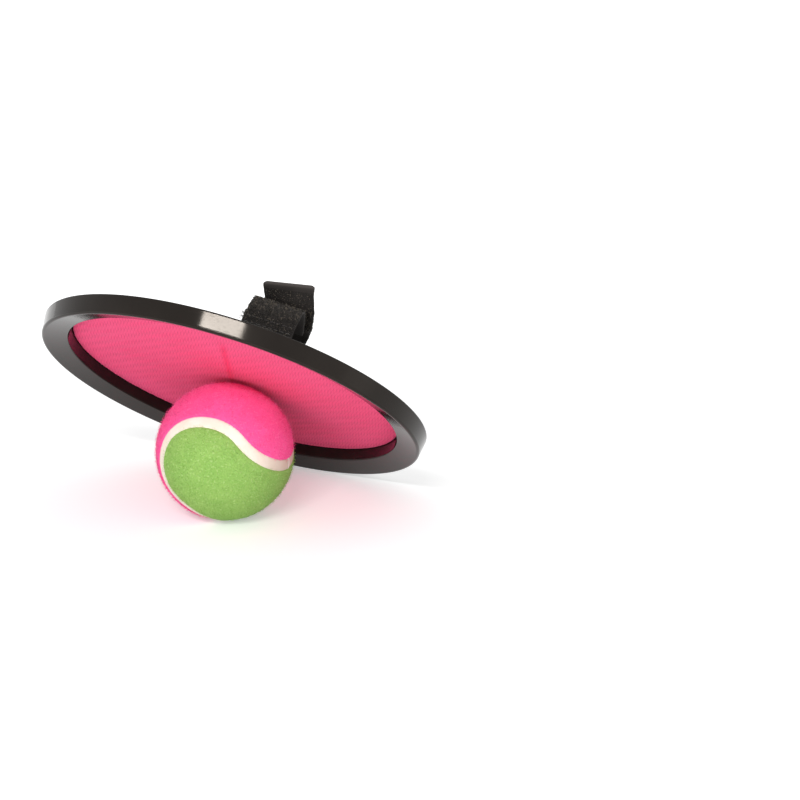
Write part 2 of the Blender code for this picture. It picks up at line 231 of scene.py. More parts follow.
def bump(tree, shader, *layers):
    """Feeds the shader's normal from (height, depth in metres) layers, one on top of the other."""
    normal = None
    for height, depth in layers:
        made = add_node(tree, "ShaderNodeBump", distance=depth, height=height)
        if normal:
            tree.links.new(normal, made.inputs["Normal"])
        normal = made.outputs["Normal"]
    tree.links.new(normal, shader.inputs["Normal"])


def dress(tree, shader, colour, rough, *layers):
    """Gives the shader a colour, a roughness from (height, share, least), and its bump layers."""
    join(tree, colour, shader.inputs["Base Color"])
    join(tree, maths(tree, "MULTIPLY_ADD", *rough), shader.inputs["Roughness"])
    bump(tree, shader, *layers)


# %% [markdown]
# The paddle is black moulded plastic with a polished tool finish. It could be one black with one
# roughness, but handling leaves soft smudges and hair-fine scratches, so the roughness wanders and a
# very shallow grain breaks the reflections.

# %% Material: black moulded plastic
black_plastic, tree, shader = new_material("black_moulded_plastic", IOR=1.5, Specular_IOR_Level=0.19,
                                           Specular_Tint=(1.0, 0.90, 0.80, 1))
place = object_place(tree)
smudge = effect(tree, drift, Place=place, Scale=22.0,
                First=(0.0088, 0.0070, 0.0061, 1), Second=(0.0130, 0.0106, 0.0092, 1))
fine = effect(tree, grain, Place=place, Scale=1400.0, Detail=2.0)
stretch = add_node(tree, "ShaderNodeMapping", vector=place, scale=(14.0, 260.0, 140.0),
                   rotation=(0.0, 0.3, 0.5))
scratches = effect(tree, grain, Place=stretch.outputs["Vector"], Scale=4.0, Detail=3.0)
scratched = maths(tree, "MULTIPLY_ADD", scratches["Speckle"], 0.03, 0.076)
dress(tree, shader, smudge["Colour"], (smudge["Mask"], 0.04, scratched),
      (fine["Height"], 0.0000015), (scratches["Height"], 0.000002))

# %% [markdown]
# The web behind the fabric has a matt, eroded tool finish, which is usual on a side that is held. It
# shares the black, and a coarser grain makes it matt.

# %% Material: matt moulded plastic
matt_plastic, tree, shader = new_material("black_matt_plastic", IOR=1.5, Specular_IOR_Level=0.25)
place = object_place(tree)
tone = effect(tree, drift, Place=place, Scale=30.0,
              First=(0.0165, 0.0150, 0.0140, 1), Second=(0.0240, 0.0220, 0.0205, 1))
pitted = effect(tree, grain, Place=place, Scale=2600.0, Detail=3.0)
dress(tree, shader, tone["Colour"], (pitted["Height"], 0.18, 0.42), (pitted["Height"], 0.00006))

# %% [markdown]
# The catch fabric is a pink warp knit: ribs of tiny stitches with dark pin holes between them. The
# ribs are real geometry. The colour darkens in the holes and drifts slowly over the disc, as
# stretched cloth does. Along the glued fold it is a deeper pink: painted shade in the fold's crease.

# %% Material: pink catch fabric
WALE_PITCH = 0.0014
COURSE_PITCH = 0.0012
WALE_TURN = radians(2)
SLANTS = ((radians(9.5), 0.00136), (radians(-5.5), 0.00145))

knit_pink, tree, shader = new_material("pink_catch_knit", Sheen_Weight=0.15, Sheen_Roughness=0.5,
                                       Sheen_Tint=(1.0, 0.45, 0.62, 1), Specular_IOR_Level=0.06)
flat = own_map(tree)
rows = []
for slant, pitch in SLANTS:
    turned = add_node(tree, "ShaderNodeMapping", vector=flat, rotation=(0.0, 0.0, -slant))
    rows.append(effect(tree, weave, Place=turned.outputs["Vector"], Across=pitch, Along=COURSE_PITCH))
base = effect(tree, drift, Place=flat, Scale=24.0,
              First=(0.965, 0.108, 0.262, 1), Second=(0.945, 0.096, 0.238, 1))
threads = effect(tree, grain, Place=flat, Scale=2600.0, Detail=2.0)
# Painted shade: the fabric is tinted deeper and darker along its fold, as if its crease lay in shade.
colour = tinted(tree, base["Colour"], attribute(tree, "fold"), 0.7, (0.93, 0.022, 0.115, 1))
for row in rows:
    colour = tinted(tree, colour, row["Gaps"], 0.50, (0.56, 0.018, 0.100, 1))
colour = tinted(tree, colour, threads["Speckle"], 0.25, (1.0, 0.21, 0.38, 1))
heights = (rows[0]["Height"], rows[1]["Height"], threads["Height"])
dress(tree, shader, colour, (threads["Height"], 0.1, 0.78), *((height, 0.00008) for height in heights))

# %% [markdown]
# The strap is black hook and loop tape. Its woven back and its pile have the same dye, but the
# pile catches light on single threads, which gives the coarse speckle that the strap shows; in the
# pile's material that speckle is painted highlight on random loops. The two therefore have a
# material each.

# %% Material: woven tape
RIB_PITCH = 0.0011

tape_black, tree, shader = new_material("black_woven_tape", Sheen_Weight=0.05, Sheen_Roughness=0.5,
                                        Sheen_Tint=(1.0, 0.88, 0.78, 1), Specular_IOR_Level=0.12)
along = own_map(tree)
threads = effect(tree, weave, Place=along, Across=0.0008, Along=RIB_PITCH)
fine = effect(tree, grain, Place=along, Scale=3000.0, Detail=2.0)
base = effect(tree, drift, Place=along, Scale=70.0,
              First=(0.0160, 0.0140, 0.0130, 1), Second=(0.0300, 0.0265, 0.0245, 1))
colour = tinted(tree, base["Colour"], threads["Gaps"], 0.7, (0.006, 0.005, 0.005, 1))
# Painted highlight: the tab's rolled hem is painted paler, where its rounded top would catch the light.
colour = tinted(tree, colour, attribute(tree, "hem_highlight"), 0.8, (0.095, 0.082, 0.077, 1))
colour = tinted(tree, colour, fine["Speckle"], 0.35, (0.085, 0.076, 0.070, 1))
dress(tree, shader, colour, (fine["Height"], 0.2, 0.55),
      (threads["Height"], 0.00022), (fine["Height"], 0.00010))

# %% Material: strap pile
pile_black, tree, shader = new_material("black_strap_pile", Sheen_Weight=0.1, Sheen_Roughness=0.4,
                                        Sheen_Tint=(1.0, 0.86, 0.70, 1), Specular_IOR_Level=0.2)
place = object_place(tree)
fine = effect(tree, grain, Place=place, Scale=900.0, Detail=2.0)
base = effect(tree, drift, Place=place, Scale=420.0,
              First=(0.0040, 0.0034, 0.0029, 1), Second=(0.0170, 0.0145, 0.0120, 1))
# Painted highlight: random loops and hooks are painted pale, as specks of light caught by single threads.
lit_loop_share = maths(tree, "POWER", ramped(tree, attribute(tree, "tone"), 0.40, 1.0), 1.3)
colour = mixed(tree, lit_loop_share, base["Colour"], (0.155, 0.131, 0.102, 1))
dress(tree, shader, colour, (fine["Height"], 0.25, 0.33), (fine["Height"], 0.00004))

# %% [markdown]
# The ball's cover is napped felt: a woven cloth whose surface is brushed into short fibres. The
# fibres are real geometry over a slightly lumpy skin. The dye is not even from fibre to fibre, so the
# colour has a fine mottle and a slow drift. Pink and green differ only in their colours.

# %% Material: felt
def felt_material(name, deep, pale, tip, root):
    """Napped felt from deep to pale, with single fibres from as dark as root to as light as tip."""
    made, tree, shader = new_material(name, Sheen_Weight=0.35, Sheen_Roughness=0.55, Sheen_Tint=tip,
                                      Specular_IOR_Level=0.04)
    place = object_place(tree)
    slow = effect(tree, drift, Place=place, Scale=95.0, First=deep, Second=pale)
    mottle = effect(tree, grain, Place=place, Scale=1100.0, Detail=3.0)
    tone = attribute(tree, "tone")
    is_fibre = maths(tree, "GREATER_THAN", tone, 0.001)
    dark_one = maths(tree, "MULTIPLY", ramped(tree, tone, 0.4, 0.05), is_fibre)
    colour = tinted(tree, slow["Colour"], mottle["Speckle"], 0.7, tip)
    colour = mixed(tree, ramped(tree, tone, 0.55, 1.0), colour, tip)
    colour = mixed(tree, dark_one, colour, root)
    dress(tree, shader, colour, (mottle["Height"], 0.1, 0.85), (mottle["Height"], 0.00030))
    return made


pink_felt = felt_material("pink_napped_felt", (0.93, 0.100, 0.320, 1), (0.96, 0.116, 0.360, 1),
                          (1.0, 0.22, 0.48, 1), (0.62, 0.030, 0.120, 1))
green_felt = felt_material("green_napped_felt", (0.250, 0.450, 0.104, 1), (0.280, 0.480, 0.118, 1),
                           (0.49, 0.68, 0.26, 1), (0.185, 0.360, 0.060, 1))

# %% [markdown]
# The seam is a cream strip of vulcanised rubber paste, slightly chalky. The core under the felt is
# dark moulded rubber. It never shows, but it keeps a finish of its own.

# %% Material: seam and core rubber
seam_cream, tree, shader = new_material("cream_seam_rubber", Specular_IOR_Level=0.35)
place = object_place(tree)
base = effect(tree, drift, Place=place, Scale=160.0,
              First=(0.84, 0.758, 0.628, 1), Second=(0.88, 0.826, 0.718, 1))
chalk = effect(tree, grain, Place=place, Scale=1500.0, Detail=3.0)
# The seam's painted shade: a darker, browner patch round its joint, where the ball's side lies in shade.
seam_shade, ridge = attribute(tree, "seam_shade"), attribute(tree, "joint")
beside = maths(tree, "MULTIPLY", ridge, maths(tree, "SUBTRACT", 1.0, ridge))
colour = tinted(tree, base["Colour"], chalk["Speckle"], 0.3, (0.84, 0.74, 0.60, 1))
# Painted shade round the joint.
colour = tinted(tree, colour, seam_shade, 0.85, (0.60, 0.475, 0.385, 1))
# Painted shade: thin darker flanks beside the raised joint.
colour = tinted(tree, colour, beside, 2.4, (0.50, 0.40, 0.33, 1))
# Painted highlight: the joint's crest is painted near white, as if it caught the light.
colour = mixed(tree, maths(tree, "POWER", ridge, 4.0), colour, (1.0, 0.98, 0.95, 1))
dress(tree, shader, colour, (chalk["Height"], 0.2, 0.52), (chalk["Height"], 0.00005))

core_rubber, tree, shader = new_material("dark_core_rubber", Specular_IOR_Level=0.3)
place = object_place(tree)
base = effect(tree, drift, Place=place, Scale=60.0,
              First=(0.10, 0.09, 0.08, 1), Second=(0.14, 0.13, 0.12, 1))
fine = effect(tree, grain, Place=place, Scale=900.0, Detail=3.0)
dress(tree, shader, base["Colour"], (fine["Height"], 0.2, 0.65), (fine["Height"], 0.00005))
print("materials:", len(bpy.data.materials))

# %% [markdown]
# The paddle was modelled in a frame of its own: its face looks down, x runs along the bars of the
# bridges and y away from the camera. The rest pose tips that frame so that the ball and the rim's
# bead touch the floor together. Each piece of the paddle is built flat in that frame and then carried
# over, so every object ends at the origin, unturned.

# %% Sizes of the paddle and where it rests
FRONT_RADIUS = 0.0910
BACK_RADIUS = 0.09225
RIM_HEIGHT = 0.0086
BEAD_RADIUS = 0.0012
LIP_WIDTH = 0.0117
LIP_RADIUS = FRONT_RADIUS - LIP_WIDTH
LIP_DEPTH = 0.00305
RECESS_DRAFT = 0.0004
FLOOR_RADIUS = LIP_RADIUS - RECESS_DRAFT
WALL = 0.0020
FABRIC_DEPTH = 0.0083
FABRIC_THICKNESS = 0.0012
CONTACT_GAP = 0.0003
WEB_FRONT = FABRIC_DEPTH + FABRIC_THICKNESS + CONTACT_GAP
WEB_BACK = WEB_FRONT + WALL
BEAD_CENTRE_RADIUS = FRONT_RADIUS - BEAD_RADIUS

BALL_RADIUS = 0.03175
SPOT_RADIUS = 0.0052
SPOT_DEPTH = BALL_RADIUS - sqrt(BALL_RADIUS ** 2 - SPOT_RADIUS ** 2)
BALL_IN_PADDLE = Vector((0.0055, 0.0024, FABRIC_DEPTH - BALL_RADIUS - CONTACT_GAP))
LEAN_AZIMUTH = radians(60)


def rest_matrix():
    """Takes the paddle's own frame to where it rests, with the ball's flat spot at the origin."""
    along = BALL_IN_PADDLE.x * cos(LEAN_AZIMUTH) + BALL_IN_PADDLE.y * sin(LEAN_AZIMUTH)
    reach = BEAD_CENTRE_RADIUS - along
    drop = BEAD_RADIUS - BALL_IN_PADDLE.z
    rise = BALL_RADIUS - SPOT_DEPTH - BEAD_RADIUS
    lean = atan2(drop, reach) + asin(rise / hypot(reach, drop))
    turn = Matrix.Rotation(-lean, 4, "X") @ Matrix.Rotation(pi / 2 - LEAN_AZIMUTH, 4, "Z")
    centre = Vector((0, 0, BALL_RADIUS - SPOT_DEPTH))
    return Matrix.Translation(centre - turn @ BALL_IN_PADDLE) @ turn, degrees(lean)


AT_REST, lean_degrees = rest_matrix()
print("the paddle leans", round(lean_degrees, 2), "degrees")

# %% Helpers for pieces
def new_piece(name, mesh, finish, replaced=(), at=None):
    """An object at the origin with its place in its mesh, which rides on the set's one body."""
    if at is not None:
        mesh.transform(at)
    made = placed(name, mesh)
    if finish.name not in mesh.materials:
        mesh.materials.append(finish)
    mesh.shade_smooth()
    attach(made, "root")
    if replaced:
        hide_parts(*replaced)
    print(name, len(mesh.polygons), "faces")
    return made


def mesh_of(name, bm):
    """A mesh made from a bmesh, which is then freed."""
    mesh = bpy.data.meshes.new(name)
    bm.to_mesh(mesh)
    bm.free()
    return mesh


def ring_of_rows(bm, rows, closed_across=False, closed_along=False):
    """Quads between rows of vertices."""
    count = len(rows[0])
    pairs = list(zip(rows, rows[1:] + rows[:1] if closed_along else rows[1:]))
    for low, high in pairs:
        for c in range(count if closed_across else count - 1):
            d = (c + 1) % count
            corners = list(dict.fromkeys((low[c], low[d], high[d], high[c])))
            if len(corners) > 2:
                bm.faces.new(corners)


def close_rings(bm, rings):
    """A closed skin over rings of vertices, with one face at each end."""
    ring_of_rows(bm, rings, closed_across=True)
    bm.faces.new(list(reversed(rings[0])))
    bm.faces.new(rings[-1])
    bmesh.ops.recalc_face_normals(bm, faces=bm.faces)


def map_in_metres(bm, place):
    """Gives each corner of a face the UV place, in metres, that place(vertex) says."""
    metres = bm.loops.layers.uv.new("metres")
    for face in bm.faces:
        for loop in face.loops:
            loop[metres].uv = place(loop.vert)


def smooth(x):
    """Goes from 0 to 1 as x does, level at both ends."""
    x = min(1, max(0, x))
    return x * x * (3 - 2 * x)


# %% [markdown]
# The disc is one injection moulding: a flared outer wall, a round bead, a lip that slopes in to a
# recess, and a thin web. Its section could be drawn with sharp corners, but every corner of a real
# moulding has a radius that catches a line of light. So the section is a chain of corners, each with
# its own radius, and it is turned round the axis in steps too fine to see.

# %% The disc's section
def rounded(corners, steps=5):
    """Points along a chain of (radius, height, corner radius), with each corner rounded off."""
    points = []
    for i, (r, z, size) in enumerate(corners):
        here = Vector((r, z))
        if size == 0:
            points.append(here)
            continue
        back = (Vector(corners[i - 1][:2]) - here).normalized()
        ahead = (Vector(corners[i + 1][:2]) - here).normalized()
        half = back.angle(ahead) / 2
        centre = here + (back + ahead).normalized() * size / sin(half)
        start = (here + back * size / tan(half) - centre).normalized()
        end = (here + ahead * size / tan(half) - centre).normalized()
        for k in range(steps + 1):
            points.append(centre + start.slerp(end, k / steps) * size)
    return points


def with_rests(points, reach):
    """The same points with one more near each end of every long straight run, so it shades straight."""
    more = [points[0]]
    for start, end in zip(points, points[1:]):
        along = (end - start).normalized()
        if (end - start).length > 5 * reach:
            more += [start + along * reach, end - along * reach]
        more.append(end)
    return more


EDGE = 0.0005
BEAD_ARC = radians(105)
BEAD_STEPS = 12
GATE_RADIUS = 0.0021
GATE_HEIGHT = 0.0003
RUN_IN = 0.00025
bead = [(BEAD_CENTRE_RADIUS + BEAD_RADIUS * cos(a), BEAD_RADIUS - BEAD_RADIUS * sin(a), 0)
        for a in (BEAD_ARC * i / BEAD_STEPS for i in range(BEAD_STEPS + 1))]
section = rounded([
    (0.0, WEB_BACK + GATE_HEIGHT, 0),
    (GATE_RADIUS, WEB_BACK + GATE_HEIGHT, 0.0001),
    (GATE_RADIUS + 0.0002, WEB_BACK, 0),
    (FLOOR_RADIUS + WALL, WEB_BACK, WALL),
    (LIP_RADIUS + WALL, LIP_DEPTH + WALL, 0.0008),
    (FRONT_RADIUS - WALL, BEAD_RADIUS + WALL, 0.0007),
    (BACK_RADIUS - WALL, RIM_HEIGHT, EDGE),
    (BACK_RADIUS, RIM_HEIGHT, EDGE),
    *bead,
    (LIP_RADIUS, LIP_DEPTH, 0.0006),
    (FLOOR_RADIUS, WEB_FRONT, 0),
    (0.0, WEB_FRONT, 0),
])
section = with_rests(section, RUN_IN)
print("section:", len(section), "points")

# %% [markdown]
# The straps pass round two moulded bridges on the back, each a round bar between two posts. A bar
# that simply ran into a block would look like a toy block, so the posts have rounded outlines, a
# domed top and a flared foot, as a mould maker draws them. They are joined to the disc by a boolean,
# which leaves one closed skin.

# %% Turning the disc
TURNED_SIDES = 240


def turned_mesh(points, sides):
    """A half section turned round the axis into a closed skin."""
    bm = bmesh.new()
    rows = []
    for i in range(sides):
        a = 2 * pi * i / sides
        rows.append([(p.x * cos(a), p.x * sin(a), p.y) for p in points[1:-1]])
    poles = [bm.verts.new((0, 0, points[0].y)), bm.verts.new((0, 0, points[-1].y))]
    rows = [[poles[0], *[bm.verts.new(p) for p in row], poles[1]] for row in rows]
    ring_of_rows(bm, rows, closed_along=True)
    bmesh.ops.recalc_face_normals(bm, faces=bm.faces)
    return mesh_of("disc", bm)


disc_mesh = turned_mesh(section, TURNED_SIDES)
print("turned disc:", len(disc_mesh.polygons), "faces")

# %% Bridges on the back
BRIDGE_REACH = 0.0460
BAR_RADIUS = 0.0018
BAR_CLEARANCE = 0.0034
BAR_HEIGHT = WEB_BACK + BAR_CLEARANCE + BAR_RADIUS
BRIDGE_OPENING = 0.0440
POST_WIDTH = 0.0040
POST_LENGTH = 0.0080
POST_TOP = BAR_HEIGHT + BAR_RADIUS + 0.0016
FLARE = 0.0009
DOME = 0.0013
POST_CORNER = 0.0013


def outline(width, length, corner, z, steps=5):
    """A rounded rectangle as points at a height z."""
    points = []
    for quarter, (sx, sy) in enumerate(((1, 1), (-1, 1), (-1, -1), (1, -1))):
        for k in range(steps + 1):
            a = pi / 2 * (quarter + k / steps)
            points.append((sx * (width / 2 - corner) + corner * cos(a),
                           sy * (length / 2 - corner) + corner * sin(a), z))
    return points


def post_mesh(x, y):
    """A post whose foot flares into the web and whose top is domed."""
    layers = [(FLARE, WEB_BACK - WALL / 2)]
    layers += [(FLARE * (1 - sin(a)), WEB_BACK + FLARE * (1 - cos(a)))
               for a in (pi / 2 * i / 5 for i in range(6))]
    layers += [(-DOME * (1 - cos(a)), POST_TOP - DOME * (1 - sin(a)))
               for a in (pi / 2 * i / 6 for i in range(7))]
    bm = bmesh.new()
    rows = []
    for grow, z in layers:
        corner = max(0.0003, POST_CORNER + grow)
        points = outline(POST_WIDTH + 2 * grow, POST_LENGTH + 2 * grow, corner, z)
        rows.append([bm.verts.new((px + x, py + y, pz)) for px, py, pz in points])
    close_rings(bm, rows)
    return mesh_of("post", bm)


def bar_mesh(y):
    """A round bar that widens a little where it runs into its posts."""
    half = BRIDGE_OPENING / 2 + POST_WIDTH / 2
    stations = [(-half, 1.25), (-half + 0.0022, 1.25), (-half + 0.0026, 1.1), (-half + 0.0034, 1.0)]
    stations += [(-x, grow) for x, grow in reversed(stations)]
    bm = bmesh.new()
    rows = []
    for x, grow in stations:
        ring = [(cos(a) * BAR_RADIUS * grow, sin(a) * BAR_RADIUS * grow)
                for a in (2 * pi * i / 28 for i in range(28))]
        rows.append([bm.verts.new((x, y + cy, BAR_HEIGHT + cz)) for cy, cz in ring])
    close_rings(bm, rows)
    return mesh_of("bar", bm)


def baked(carrier, *helpers):
    """The mesh that an object's modifiers make; the object and its helpers are removed."""
    graph = bpy.context.evaluated_depsgraph_get()
    made = bpy.data.meshes.new_from_object(carrier.evaluated_get(graph))
    for extra in (carrier, *helpers):
        bpy.data.objects.remove(extra)
    return made


def united(mesh, tools):
    """The mesh joined with the tools into one closed skin."""
    base = placed("base", mesh)
    helpers = [placed("tool", tool) for tool in tools]
    for helper in helpers:
        step = base.modifiers.new("join", "BOOLEAN")
        step.operation = "UNION"
        step.solver = "EXACT"
        step.object = helper
    return baked(base, *helpers)


tools = [bar_mesh(side * BRIDGE_REACH) for side in (-1, 1)]
post_x = BRIDGE_OPENING / 2 + POST_WIDTH / 2
tools += [post_mesh(x, side * BRIDGE_REACH) for x in (-post_x, post_x) for side in (-1, 1)]
disc_mesh = united(disc_mesh, tools)
disc_mesh.materials.append(black_plastic)
disc_mesh.materials.append(matt_plastic)
for face in disc_mesh.polygons:
    middle = face.center
    on_web = middle.z > WEB_BACK - 0.0001 and hypot(middle.x, middle.y) < FLOOR_RADIUS - 0.0005
    face.material_index = 1 if on_web else 0
disc = new_piece("paddle_moulding", disc_mesh, black_plastic, ["paddle_disc"], AT_REST)
disc.data.set_sharp_from_angle(angle=radians(40))

# %% [markdown]
# What repeats over a surface is grown by Geometry Nodes. This one tree scatters a small bent thread
# over a mesh: points a least distance apart, one thread on each, turned and tilted at random from a
# fixed seed. Its inputs make it a felt fibre, a loop of pile or a hook. The result is realised into
# one plain mesh, because an export would drop the instances.

# %% Geometry nodes: a nap of threads
INT, GEOMETRY, MATERIAL = "NodeSocketInt", "NodeSocketGeometry", "NodeSocketMaterial"
MOST_THREADS = 6.0e6

nap, n_in, n_out = new_group(
    "nap_of_threads", "GeometryNodeTree",
    [("Surface", GEOMETRY, None), ("Start", VECTOR, None), ("Middle", VECTOR, None),
     ("End", VECTOR, None), ("Thickness", FLOAT, 0.0001), ("Apart", FLOAT, 0.001),
     ("Tilt", FLOAT, 0.5), ("Least Size", FLOAT, 0.6), ("Lowest", FLOAT, 0.0),
     ("Steps", INT, 3), ("Seed", INT, 1), ("Finish", MATERIAL, None)],
    [("Threads", GEOMETRY)],
)


def random_number(tree, low, high, seed):
    """A random number for each point; seed keeps the draws apart."""
    made = add_node(tree, "FunctionNodeRandomValue", data_type="FLOAT", min=low, max=high, seed=seed)
    return made.outputs[1]


def tube(tree, curve, sides, radius):
    """A closed tube along a curve."""
    ring = first_out(tree, "GeometryNodeCurvePrimitiveCircle", resolution=sides, radius=radius)
    return first_out(tree, "GeometryNodeCurveToMesh", curve=curve, profile_curve=ring, fill_caps=True)


def with_finish(tree, geometry, finish):
    """The geometry as one plain mesh with its material."""
    real = first_out(tree, "GeometryNodeRealizeInstances", geometry=geometry)
    return first_out(tree, "GeometryNodeSetMaterial", geometry=real, material=finish)


given = n_in.outputs
spread = add_node(nap, "GeometryNodeDistributePointsOnFaces", distribute_method="POISSON",
                  mesh=given["Surface"], distance_min=given["Apart"], density_max=MOST_THREADS,
                  seed=given["Seed"])
split = add_node(nap, "ShaderNodeSeparateXYZ", vector=first_out(nap, "GeometryNodeInputPosition"))
too_low = first_out(nap, "FunctionNodeCompare", operation="LESS_THAN", a=split.outputs["Z"],
                    b=given["Lowest"])
kept = first_out(nap, "GeometryNodeDeleteGeometry", domain="POINT", geometry=spread.outputs["Points"],
                 selection=too_low)
thread = first_out(nap, "GeometryNodeCurveQuadraticBezier", resolution=given["Steps"],
                   start=given["Start"], middle=given["Middle"], end=given["End"])
tilt = random_number(nap, maths(nap, "MULTIPLY", given["Tilt"], -1.0), given["Tilt"], given["Seed"])
turn = random_number(nap, 0.0, 2 * pi, maths(nap, "ADD", given["Seed"], 7.0))
size = random_number(nap, given["Least Size"], 1.0, maths(nap, "ADD", given["Seed"], 13.0))
tone = random_number(nap, 0.01, 1.0, maths(nap, "ADD", given["Seed"], 19.0))
angles = first_out(nap, "ShaderNodeCombineXYZ", x=tilt, z=turn)
stance = first_out(nap, "FunctionNodeEulerToRotation", euler=angles)
stance = first_out(nap, "FunctionNodeRotateRotation", rotation_space="LOCAL",
                   rotation=spread.outputs["Rotation"], rotate_by=stance)
planted = first_out(nap, "GeometryNodeInstanceOnPoints", points=kept,
                    instance=tube(nap, thread, 3, given["Thickness"]), rotation=stance, scale=size)
toned = first_out(nap, "GeometryNodeStoreNamedAttribute", data_type="FLOAT", domain="INSTANCE",
                  name="tone", geometry=planted, value=tone)
join(nap, with_finish(nap, toned, given["Finish"]), n_out.inputs["Threads"])
print("tree nap_of_threads:", len(nap.nodes), "nodes")

# %% Running a tree on a mesh
def grown(tree, mesh, **values):
    """The plain mesh that a tree makes from a mesh. Inputs are set by their identifiers."""
    carrier = placed("carrier", mesh)
    step = carrier.modifiers.new("grow", "NODES")
    step.node_group = tree
    sockets = {s.name: s.identifier for s in tree.interface.items_tree if s.in_out == "INPUT"}
    for title, value in values.items():
        step[sockets[title.replace("_", " ")]] = value
    return baked(carrier)

# %% [markdown]
# The catch fabric lies glued in the recess. Its knit has ribs of stitches about a millimetre apart,
# so a picture of a weave on a flat disc would look printed. Here the mesh is a grid that follows the
# ribs, and the tree below lifts each stitch. Cells at the border are drawn in to the true circle.

# %% Geometry nodes: a knit's stitches
knit, k_in, k_out = new_group(
    "knit_stitches", "GeometryNodeTree",
    [("Cloth", GEOMETRY, None), ("Wale Pitch", FLOAT, 0.001), ("Course Pitch", FLOAT, 0.001),
     ("Turn", FLOAT, 0.0), ("Height", FLOAT, 0.0002), ("Finish", MATERIAL, None)],
    [("Knit", GEOMETRY)],
)
given = k_in.outputs
along_ribs = first_out(knit, "ShaderNodeVectorRotate", rotation_type="Z_AXIS",
                       vector=first_out(knit, "GeometryNodeInputPosition"),
                       angle=maths(knit, "MULTIPLY", given["Turn"], -1.0))
wale, course = crossed_waves(knit, along_ribs, given["Wale Pitch"], given["Course Pitch"])
stitch = maths(knit, "MULTIPLY_ADD", wale, maths(knit, "MULTIPLY_ADD", course, 0.3, 0.2), 0.5)
drop = maths(knit, "MULTIPLY", maths(knit, "MULTIPLY", stitch, given["Height"]), -1.0)
free = first_out(knit, "GeometryNodeInputNamedAttribute", data_type="BOOLEAN", name="free")
moved = first_out(knit, "GeometryNodeSetPosition", geometry=given["Cloth"], selection=free,
                  offset=first_out(knit, "ShaderNodeCombineXYZ", z=drop))
join(knit, with_finish(knit, moved, given["Finish"]), k_out.inputs["Knit"])
print("tree knit_stitches:", len(knit.nodes), "nodes")

# %% The fabric's disc
FABRIC_RADIUS = FLOOR_RADIUS - CONTACT_GAP
KNIT_HEIGHT = 0.0002
FABRIC_FACE = FABRIC_DEPTH + KNIT_HEIGHT + 0.0001
FOLD_HEIGHT = 0.00035
FOLD_WIDTH = 0.0016
FOLD_START = (-0.0066, -0.056)
FOLD_LENGTH = 0.066
FOLD_DRIFT = 0.0058


def fold_share(x, y):
    """How much the fabric is raised by its fold at a point: 1 on the fold, 0 away from it."""
    along = (y - FOLD_START[1]) / FOLD_LENGTH
    if not 0 < along < 1:
        return 0
    middle = FOLD_START[0] + FOLD_DRIFT * along ** 1.2
    fade = smooth(along * 5) * smooth((1 - along) * 4)
    return fade * exp(-((x - middle) / FOLD_WIDTH) ** 2)


def fabric_mesh():
    """The disc as a grid of half stitches, with a wall round it and a plain back."""
    step_x, step_y = WALE_PITCH / 2, COURSE_PITCH / 2
    reach_x, reach_y = int(FABRIC_RADIUS / step_x) + 2, int(FABRIC_RADIUS / step_y) + 2
    lie = Matrix.Rotation(WALE_TURN, 4, "Z")
    places = {}
    for i in range(-reach_x, reach_x + 1):
        for j in range(-reach_y, reach_y + 1):
            places[i, j] = lie @ Vector((i * step_x, j * step_y, 0))
    inside = {key for key, p in places.items() if p.length < FABRIC_RADIUS - 0.25 * step_x}
    bm = bmesh.new()
    verts = {}
    free_layer = bm.verts.layers.bool.new("free")
    fold_layer = bm.verts.layers.float.new("fold")
    for key, p in places.items():
        i, j = key
        near = [(i + a, j + b) for a in (-1, 0, 1) for b in (-1, 0, 1)]
        if not any(k in inside for k in near):
            continue
        if key not in inside:
            p = p.normalized() * FABRIC_RADIUS
        lift = fold_share(p.x, p.y)
        vert = bm.verts.new((p.x, p.y, FABRIC_FACE - lift * FOLD_HEIGHT))
        vert[free_layer] = key in inside
        vert[fold_layer] = lift
        verts[key] = vert
    for i, j in places:
        corners = [(i, j), (i, j + 1), (i + 1, j + 1), (i + 1, j)]
        if any(k in inside for k in corners):
            bm.faces.new([verts[k] for k in corners])
    for vert in [v for v in bm.verts if not v.link_faces]:
        bm.verts.remove(vert)
    rim = [e for e in bm.edges if e.is_boundary]
    walls = bmesh.ops.extrude_edge_only(bm, edges=rim)["geom"]
    for vert in (g for g in walls if isinstance(g, bmesh.types.BMVert)):
        vert.co.z = FABRIC_DEPTH + FABRIC_THICKNESS
    back = [e for e in bm.edges if e.is_boundary]
    bmesh.ops.edgeloop_fill(bm, edges=back)
    bmesh.ops.recalc_face_normals(bm, faces=bm.faces)
    map_in_metres(bm, lambda vert: vert.co.xy)
    return mesh_of("fabric", bm)


knitted = grown(knit, fabric_mesh(), Wale_Pitch=WALE_PITCH, Course_Pitch=COURSE_PITCH, Turn=WALE_TURN,
                Height=KNIT_HEIGHT, Finish=knit_pink)
fabric = new_piece("catch_fabric_knit", knitted, knit_pink, ["catch_fabric"], AT_REST)

# %% [markdown]
# The strap is two tapes. Each is sewn in a loop round its bridge and rises in an arch over the web, and
# the far one lies on the near one with its end turned up as a tab. A flat strip with a thickness
# would look cut from card, so each tape has rounded edges, a slight wave along them and a woven rib.
# The path is the same arch as the frame's, in much finer steps.

